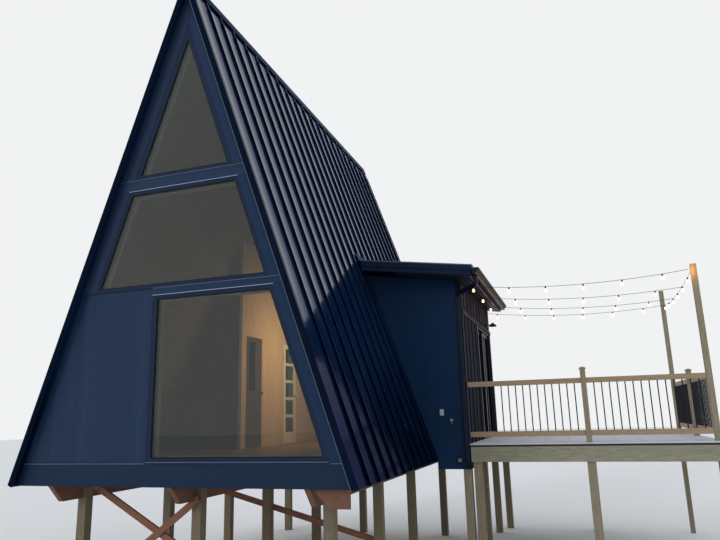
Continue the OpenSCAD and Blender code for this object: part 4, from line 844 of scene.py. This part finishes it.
# a moulded gutter with its hangers and ends, a tan strip along its front foot painted as a warm highlight, the
# downspout's route with its bends, its straps and its flange
gutter = {
    "x": 3.428, "bottom": 5.0406, "front": 3.164, "rear": 7.657,
    "outer": [(0, 0.11), (0, 0), (0.07, 0), (0.078, 0.03), (0.092, 0.055), (0.11, 0.068), (0.118, 0.082),
              (0.12, 0.1), (0.12, 0.11), (0.106, 0.11)],
    "inner": [(0.106, 0.104), (0.115, 0.104), (0.115, 0.085), (0.106, 0.072), (0.089, 0.058), (0.075, 0.032),
              (0.068, 0.0022), (0.0022, 0.0022), (0.0022, 0.11)],
    "ends": {"gutterEndFront": 3.162, "gutterEndRear": 7.654}, "endThick": 0.005,
    # the tan strip along the front foot, a painted highlight
    "bead": [(3.48, 5.035), (3.495, 5.035), (3.495, 5.042), (3.48, 5.042)],
    "hangers": {"size": (0.112, 0.02, 0.003), "start": (3.488, 3.464, 5.1416), "step": (0, 0.61, 0), "count": 7},
}
spout = {
    "corners": ((3.463, 3.3, 5.046), (3.463, 3.3, 4.868), (3.06, 3.672, 4.79), (3.06, 3.672, 1.835),
                (3.06, 3.565, 1.757)),
    "bend": 0.11, "steps": 16, "halfX": 0.038, "halfY": 0.03, "round": 0.012, "crimp": 0.05,
    "straps": {"size": (0.1, 0.0625, 0.028), "start": (3.06, 3.6705, 4.3), "step": (0, 0, -1.1), "count": 3,
               "ease": 0.003},
    "flange": {"size": (0.086, 0.07, 0.012), "start": (3.471, 3.3, 5.0326)},
}


def roundedRoute(corners, bend, steps):
    # the straight runs with their corners turned into bends, and how much each spot is crimped
    points = [Vector(c) for c in corners]
    route = [(points[0], 0.0)]
    for before, corner, after in zip(points, points[1:], points[2:]):
        reach = min(bend, (corner - before).length * 0.45, (after - corner).length * 0.45)
        a = corner + (before - corner).normalized() * reach
        b = corner + (after - corner).normalized() * reach
        for k in range(steps + 1):
            t = k / steps
            route.append((a * (1 - t) ** 2 + corner * 2 * t * (1 - t) + b * t * t, float(k % 2)))
    return route + [(points[-1], 0.0)]


def sweepTube(name, size, key):
    # a tube with rounded corners, carried along its route without twist
    route = roundedRoute(size["corners"], size["bend"], size["steps"])
    r, ring = size["round"], []
    flatX, flatY = size["halfX"] - r, size["halfY"] - r
    for k, (sx, sy) in enumerate(((1, 1), (-1, 1), (-1, -1), (1, -1))):
        for turn in (math.radians(90 * k + 45 * j) for j in range(3)):
            ring.append((sx * flatX + r * math.cos(turn), sy * flatY + r * math.sin(turn)))
    ahead, across = (route[1][0] - route[0][0]).normalized(), Vector((1, 0, 0))
    points, faces, n = [], [], len(ring)
    for i, (spot, crimp) in enumerate(route):
        direction = (route[min(i + 1, len(route) - 1)][0] - route[max(i - 1, 0)][0]).normalized()
        across = ahead.rotation_difference(direction) @ across
        ahead = direction
        other = ahead.cross(across)
        share = 1 - size["crimp"] * crimp
        points += [spot + across * (x * share) + other * (y * share) for x, y in ring]
    for i in range(len(route) - 1):
        for k in range(n):
            a, b = i * n + k, i * n + (k + 1) % n
            faces.append((a, b, b + n, a + n))
    faces += [tuple(range(n)), tuple(range(len(points) - 1, len(points) - n - 1, -1))]
    return addPiece(name, meshFrom(name, points, faces), key)


def makeGutter():
    def placed(outline):
        return [(gutter["x"] + x, gutter["bottom"] + z) for x, z in outline]

    trough = extrudeAlong("eaveGutter", placed(gutter["outer"] + gutter["inner"]), "y", gutter["front"],
                          gutter["rear"], "gutterCoat")
    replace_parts(trough, "gutter")
    for name, y in gutter["ends"].items():
        # painted shade: the end caps take the downspout's dark navy, darker than the trough
        cap = extrudeAlong(name, placed(gutter["outer"]), "y", y, y + gutter["endThick"], "navySpout",
                           slot="roof_metal")
        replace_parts(cap, "gutter")
    boards("gutterHangers", "gutterCoat", **gutter["hangers"])
    # painted highlight: the warm light along the gutter's front foot
    extrudeAlong("gutterBead", gutter["bead"], "y", gutter["front"], gutter["rear"], "gutterLitEdge")
    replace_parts(sweepTube("downspoutTube", spout, "navySpout"), "downspout")
    boards("spoutStraps", "navySpout", **spout["straps"])
    boards("spoutFlange", "navySpout", **spout["flange"])


makeGutter()

# a vent, an outlet and a tap on the wing's front wall, and a down light beside the patio door
vent = {"x": (2.875, 2.975), "z": (1.762, 1.862), "frame": 0.018, "deep": (3.672, 3.7015),
        "louvres": {"size": (0.064, 0.03, 0.004), "start": (2.925, 3.686, 1.792), "step": (0, 0, 0.021), "count": 3,
                    "turn": (math.radians(-38), 0, 0), "ease": 0.001}}
outlet = {"base": {"size": (0.072, 0.024, 0.118), "start": (2.64, 3.69, 2.645), "ease": 0.004},
          "hood": [(3.678, 2.7), (3.64, 2.683), (3.636, 2.595), (3.678, 2.59)], "hoodX": (2.608, 2.672)}
# outline of (radius, distance), sides, place, axis and finish
turned = {
    "tapBody": ([(0.001, -0.085), (0.011, -0.082), (0.011, -0.06), (0.016, -0.058), (0.016, -0.04), (0.012, -0.038),
                 (0.012, -0.008), (0.027, -0.006), (0.027, -0.0005), (0.001, -0.0005)],
                16, (2.815, 3.702, 2.51), "y", "brass"),
    "tapSpout": ([(0.001, -0.075), (0.013, -0.075), (0.013, -0.055), (0.01, -0.053), (0.01, 0.0), (0.001, 0.0)],
                 16, (2.815, 3.652, 2.51), "z", "brass"),
    "tapWheel": ([(0.001, -0.1), (0.024, -0.099), (0.027, -0.095), (0.024, -0.091), (0.006, -0.09), (0.006, -0.08),
                  (0.001, -0.08)], 18, (2.815, 3.702, 2.51), "y", "steel"),
    "lampPlate": ([(0.001, 0.0), (0.055, 0.0), (0.055, 0.012), (0.048, 0.02), (0.012, 0.022), (0.012, 0.15),
                   (0.001, 0.15)], 20, (3.129, 6.9, 4.6), "x", "frameCoat"),
    "lampShade": ([(0.001, 0.045), (0.02, 0.045), (0.024, 0.03), (0.08, -0.01), (0.085, -0.04), (0.08, -0.04),
                   (0.074, -0.012), (0.001, 0.0)], 20, (3.279, 6.9, 4.6), "z", "frameCoat"),
}


def makeWallFittings():
    (x0, x1), (z0, z1) = vent["x"], vent["z"]
    ringPiece("ventFrame", [(x0, z0), (x1, z0), (x1, z1), (x0, z1)], vent["frame"], *vent["deep"], "navySpout")
    boards("ventLouvres", "moulding", **vent["louvres"])
    boards("outletBase", "moulding", **outlet["base"])
    extrudeAlong("outletHood", outlet["hood"], "x", *outlet["hoodX"], "moulding", ease=0.004)
    for name, (outline, sides, place, axis, key) in turned.items():
        addPiece(name, turnedProfile(name, outline, sides, place, axis), key)


makeWallFittings()
print("wing dressed")

glazing = {"front": -0.66, "back": -0.636, "frameBack": -0.564, "wallBack": -0.503, "inset": 0.27, "topInset": 0.294,
           "bead": 0.012, "beadOuter": (-0.007, -0.0005), "beadInner": (0.0005, 0.01), "casing": 0.05,
           "casingOut": 0.03, "casingGap": 0.001, "left": -0.33, "lower": (2.161, 4.265),
           "middle": (4.477, 5.834), "top": 6.109}


def makeWindowTrim():
    inset, topInset, left = glazing["inset"], glazing["topInset"], glazing["left"]
    (lowFoot, lowHead), (foot, head), topFoot = glazing["lower"], glazing["middle"], glazing["top"]
    panes = {
        "lower": [(left, lowFoot), (halfAt(lowFoot, inset), lowFoot), (halfAt(lowHead, inset), lowHead),
                  (left, lowHead)],
        "middle": [(-halfAt(foot, inset), foot), (halfAt(foot, inset), foot), (halfAt(head, inset), head),
                   (-halfAt(head, inset), head)],
        "top": [(-halfAt(topFoot, topInset), topFoot), (halfAt(topFoot, topInset), topFoot),
                (0, peakZ - topInset / cosRoof)],
    }
    outer = [glazing["front"] + y for y in glazing["beadOuter"]]
    inner = [glazing["back"] + y for y in glazing["beadInner"]]
    for name, outline in panes.items():
        ringPiece(name + "Bead", outline, glazing["bead"], *outer, "frameCoat")
        ringPiece(name + "InnerBead", outline, glazing["bead"], *inner, "frameCoat")
        ringPiece(name + "Casing", insetOutline(outline, -glazing["casingOut"]), glazing["casing"],
                  glazing["frameBack"] + glazing["casingGap"], glazing["wallBack"], "jamb")


makeWindowTrim()
print("windows dressed")


def onSlope(along, out, side=1):
    # a point of the cross section: distance down from the peak and out of the slope
    return side * (along * cosRoof + out * sinRoof), peakZ - along * sinRoof + out * cosRoof


def slopeStrip(a, b, low, high, side):  # an outline between two distances down the slope and two heights over it
    return [onSlope(a, low, side), onSlope(b, low, side), onSlope(b, high, side), onSlope(a, high, side)]


seams = {"first": -0.2836, "step": 0.4064, "count": 20, "long": 10, "wide": 0.0126, "high": 0.034, "sheet": 0.015,
         "start": 0.185, "join": 3.767, "fold": 0.016, "foldDown": 0.008, "webDown": 0.005,
         "run": math.hypot(cabin["halfWidth"], cabin["apex"]) - skinGap}


def seamRow(label, side, first, count, end):
    # upright webs and the folds along their tops
    mid, length = (seams["start"] + end) / 2, end - seams["start"]
    tip = seams["high"]
    for part, key, wide, low, high in (("Web", "seamCoat", seams["wide"], 0.0, tip - seams["webDown"]),
                                       ("Fold", "roofPans", seams["fold"], tip - seams["foldDown"], tip)):
        x, z = onSlope(mid, seams["sheet"] + (low + high) / 2, side)
        boards("seam%s%s" % (part, label), key, (length, wide, high - low),
               (x, seams["first"] + first * seams["step"], z), (0, seams["step"], 0), count,
               turn=(0, side * roofAngle, 0), ease=0.0015)


# each part of the trim along a rake: its foot and top over the slope, its front and back from the roof's front
rakeTrim = {"start": 0.05, "rib": 0.0405, "edge": (0.001, 0.007, -0.012, 0.018), "thick": 0.012,
            "Face": (-0.004, 0.049, -0.004, -0.0005), "Rib": (0.0405, 0.049, -0.0005, 0.012),
            "Fold": (0.004, 0.011, -0.007, -0.004), "Lip": (-0.034, -0.006, -0.003, -0.0005),
            "Hem": (-0.042, -0.035, -0.006, -0.0005)}


def makeRakeEdges():
    run, start, top = seams["run"] - skinGap, rakeTrim["start"], seams["sheet"] + seams["high"]
    for side, label in ((-1, "Left"), (1, "Right")):
        for part in ("Face", "Rib", "Fold", "Lip", "Hem"):
            low, high, near, far = rakeTrim[part]
            bright = part == "Hem" and side > 0  # the right hem catches the light
            extrudeAlong("rake" + part + label, slopeStrip(start, run, low, high, side), "y",
                         roofFront + near, roofFront + far, "drip" if bright else "seamCoat", slot="roof_metal")
        # drip edge along the eave, up to the wing on its side
        a, b, low, high = rakeTrim["edge"]
        extrudeAlong("eaveEdge" + label, slopeStrip(run + a, run + b, low, high, side), "y", roofFront,
                     roofRear if side < 0 else wing["front"] - skinGap, "navySpout", slot="roof_metal")
        end = run if side < 0 else seams["join"]
        extrudeAlong("rearRakeRib" + label, slopeStrip(seams["start"], end, rakeTrim["rib"], top, side), "y",
                     roofRear - rakeTrim["thick"], roofRear, "seamCoat")


seamRow("Left", -1, 0, seams["count"], seams["run"])
seamRow("Right", 1, 0, seams["long"], seams["run"])
seamRow("AboveWing", 1, seams["long"], seams["count"] - seams["long"], seams["join"])
makeRakeEdges()
print("seams folded")


def makeHangRow():
    # copies of Piece along the line that sags by Sag between Start and End, from share First on by Share
    tree, given = startTree("hangRow", {"Piece": "Object", "Start": "Vector", "End": "Vector", "Sag": "Float",
                                        "First": "Float", "Share": "Float", "Count": "Int", "Size": "Float"})
    line = addNode(tree, "GeometryNodeMeshLine", {"Count": given["Count"]}, mode="OFFSET")
    index = addNode(tree, "GeometryNodeInputIndex")
    share = addNode(tree, "ShaderNodeMath", {0: index, 1: given["Share"], 2: given["First"]},
                    operation="MULTIPLY_ADD")
    place = addNode(tree, "ShaderNodeMix", {0: share, 4: given["Start"], 5: given["End"]}, data_type="VECTOR",
                    clamp_factor=False)
    rest = addNode(tree, "ShaderNodeMath", {0: 1.0, 1: share}, operation="SUBTRACT")
    dip = addNode(tree, "ShaderNodeMath", {0: share, 1: rest}, operation="MULTIPLY")
    dip = addNode(tree, "ShaderNodeMath", {0: dip, 1: given["Sag"]}, operation="MULTIPLY")
    drop = addNode(tree, "ShaderNodeVectorMath", {0: (0, 0, -4), 3: dip}, operation="SCALE")
    spots = addNode(tree, "ShaderNodeVectorMath", {0: place, 1: drop}, operation="ADD")
    moved = addNode(tree, "GeometryNodeSetPosition", {"Geometry": line, "Position": spots})
    piece = addNode(tree, "GeometryNodeObjectInfo", {"Object": given["Piece"]})
    rows = addNode(tree, "GeometryNodeInstanceOnPoints", {"Points": moved, "Instance": piece.outputs["Geometry"],
                                                          "Scale": given["Size"]})
    return endTree(tree, given, rows)


bulbs = {"count": 6, "spacing": 0.645, "firstIn": 0.19, "sides": 14, "wireSize": 0.9,
         "socket": [(0.001, 0.007), (0.009, 0.006), (0.013, -0.004), (0.0135, -0.03), (0.016, -0.034),
                    (0.016, -0.042), (0.001, -0.042)],
         "globe": [(0.001, -0.04), (0.012, -0.042), (0.014, -0.05), (0.021, -0.064), (0.0225, -0.076),
                   (0.019, -0.09), (0.011, -0.1), (0.001, -0.103)]}


def hangBulbs():
    # each bulb hangs with its socket; on the wire they are smaller and stand in the middle
    hangRow = makeHangRow()
    shapes = {key: linkObject(key + "Shape", turnedProfile(key + "Shape", bulbs[key], bulbs["sides"], (0, 0, 0)))
              for key in ("socket", "globe")}
    for i, run in enumerate(stringRuns):
        onWire = run["size"] is wire
        share = bulbs["spacing"] / run["length"]
        first = (1 - share * (bulbs["count"] - 1)) / 2 if onWire else bulbs["firstIn"] / run["length"]
        values = {"Start": run["start"], "End": run["end"], "Sag": run["size"]["sag"], "First": first,
                  "Share": share, "Count": bulbs["count"], "Size": bulbs["wireSize"] if onWire else 1.0}
        for shape, key in (("socket", "cordSheath"), ("globe", "bulb")):
            row = bakeTree("%sRow%d" % (shape, i + 1), hangRow, {**values, "Piece": shapes[shape]}, key)
            run["bulbs"].append(row)
    for shape in shapes.values():
        bpy.data.objects.remove(shape)


hangBulbs()
print("bulbs hung")

studio = {"sky": "#e2e7ee", "back": "#f1f2f3", "floor": "#e4e4e2", "floorHalf": 90, "floorDown": 0.002}
# kind, place, target, energy, colour and size: a soft key, the room's own light, and bulbs that warm what is near
lamps = {
    "softKey": ("SUN", (-8, -16, 11), (0, 2, 3), 0.7, "#f6f8ff", math.radians(18)),
    "roomLight": ("AREA", (0.75, 3.9, 4.3), (-0.9, 4.0, 3.2), 62, "#ffd4ab", 0.8),
    **{"bulbGlow%d" % (i + 1): ("POINT", (3.3, y + 0.2, 4.75), (3.2, y, 4), 5.0, "#ff9550", 0.05)
       for i, y in enumerate(strings["rows"])},
    "postGlow": ("POINT", (6.93, 3.66, 4.86), (6.95, 3.7, 4.8), 4.0, "#ffa234", 0.03),
}
sizeNames = {"SUN": "angle", "AREA": "size", "POINT": "shadow_soft_size"}


def makeWorld():
    # a soft sky lights the scene; the camera, metal and glass see a plain pale backdrop
    world = bpy.data.worlds.new("studio")
    bpy.context.scene.world = world
    world.use_nodes = True
    tree = world.node_tree
    tree.nodes.clear()
    rays = addNode(tree, "ShaderNodeLightPath").outputs
    seen = addNode(tree, "ShaderNodeMath", {0: rays["Is Camera Ray"], 1: rays["Is Glossy Ray"]}, operation="MAXIMUM")
    seen = addNode(tree, "ShaderNodeMath", {0: seen, 1: rays["Is Transmission Ray"]}, operation="MAXIMUM")
    soft = addNode(tree, "ShaderNodeBackground", {"Color": linear(studio["sky"]), "Strength": 1.0})
    plain = addNode(tree, "ShaderNodeBackground", {"Color": linear(studio["back"]), "Strength": 1.0})
    mixed = addNode(tree, "ShaderNodeMixShader", {0: seen, 1: soft, 2: plain})
    addNode(tree, "ShaderNodeOutputWorld", {"Surface": mixed})


def makeFloor():
    half, z = studio["floorHalf"], -studio["floorDown"]
    mesh = meshFrom("studioFloor", [(-half, -half, z), (half, -half, z), (half, half, z), (-half, half, z)],
                    [(0, 1, 2, 3)])
    # matt paint on a studio floor: no gloss to compete with the roof
    mesh.materials.append(endMaterial(startMaterial("paleStudioFloor")[0], {"Base Color": linear(studio["floor"]),
                                                                            "Roughness": 0.9}))
    linkObject("studioFloor", mesh)


def addLamp(name, kind, place, target, energy, colour, size):
    data = bpy.data.lights.new(name, kind)
    data.energy, data.color = energy, linear(colour)[:3]
    setattr(data, sizeNames[kind], size)
    lamp = linkObject(name, data)
    lamp.location = place
    lamp.rotation_mode = "QUATERNION"
    lamp.rotation_quaternion = (Vector(target) - Vector(place)).to_track_quat("-Z", "Y")
    lamp.visible_glossy = lamp.visible_transmission = False


makeWorld()
makeFloor()
for name, values in lamps.items():
    addLamp(name, *values)
bpy.context.scene.view_settings.view_transform = "Standard"
print("stage lit")
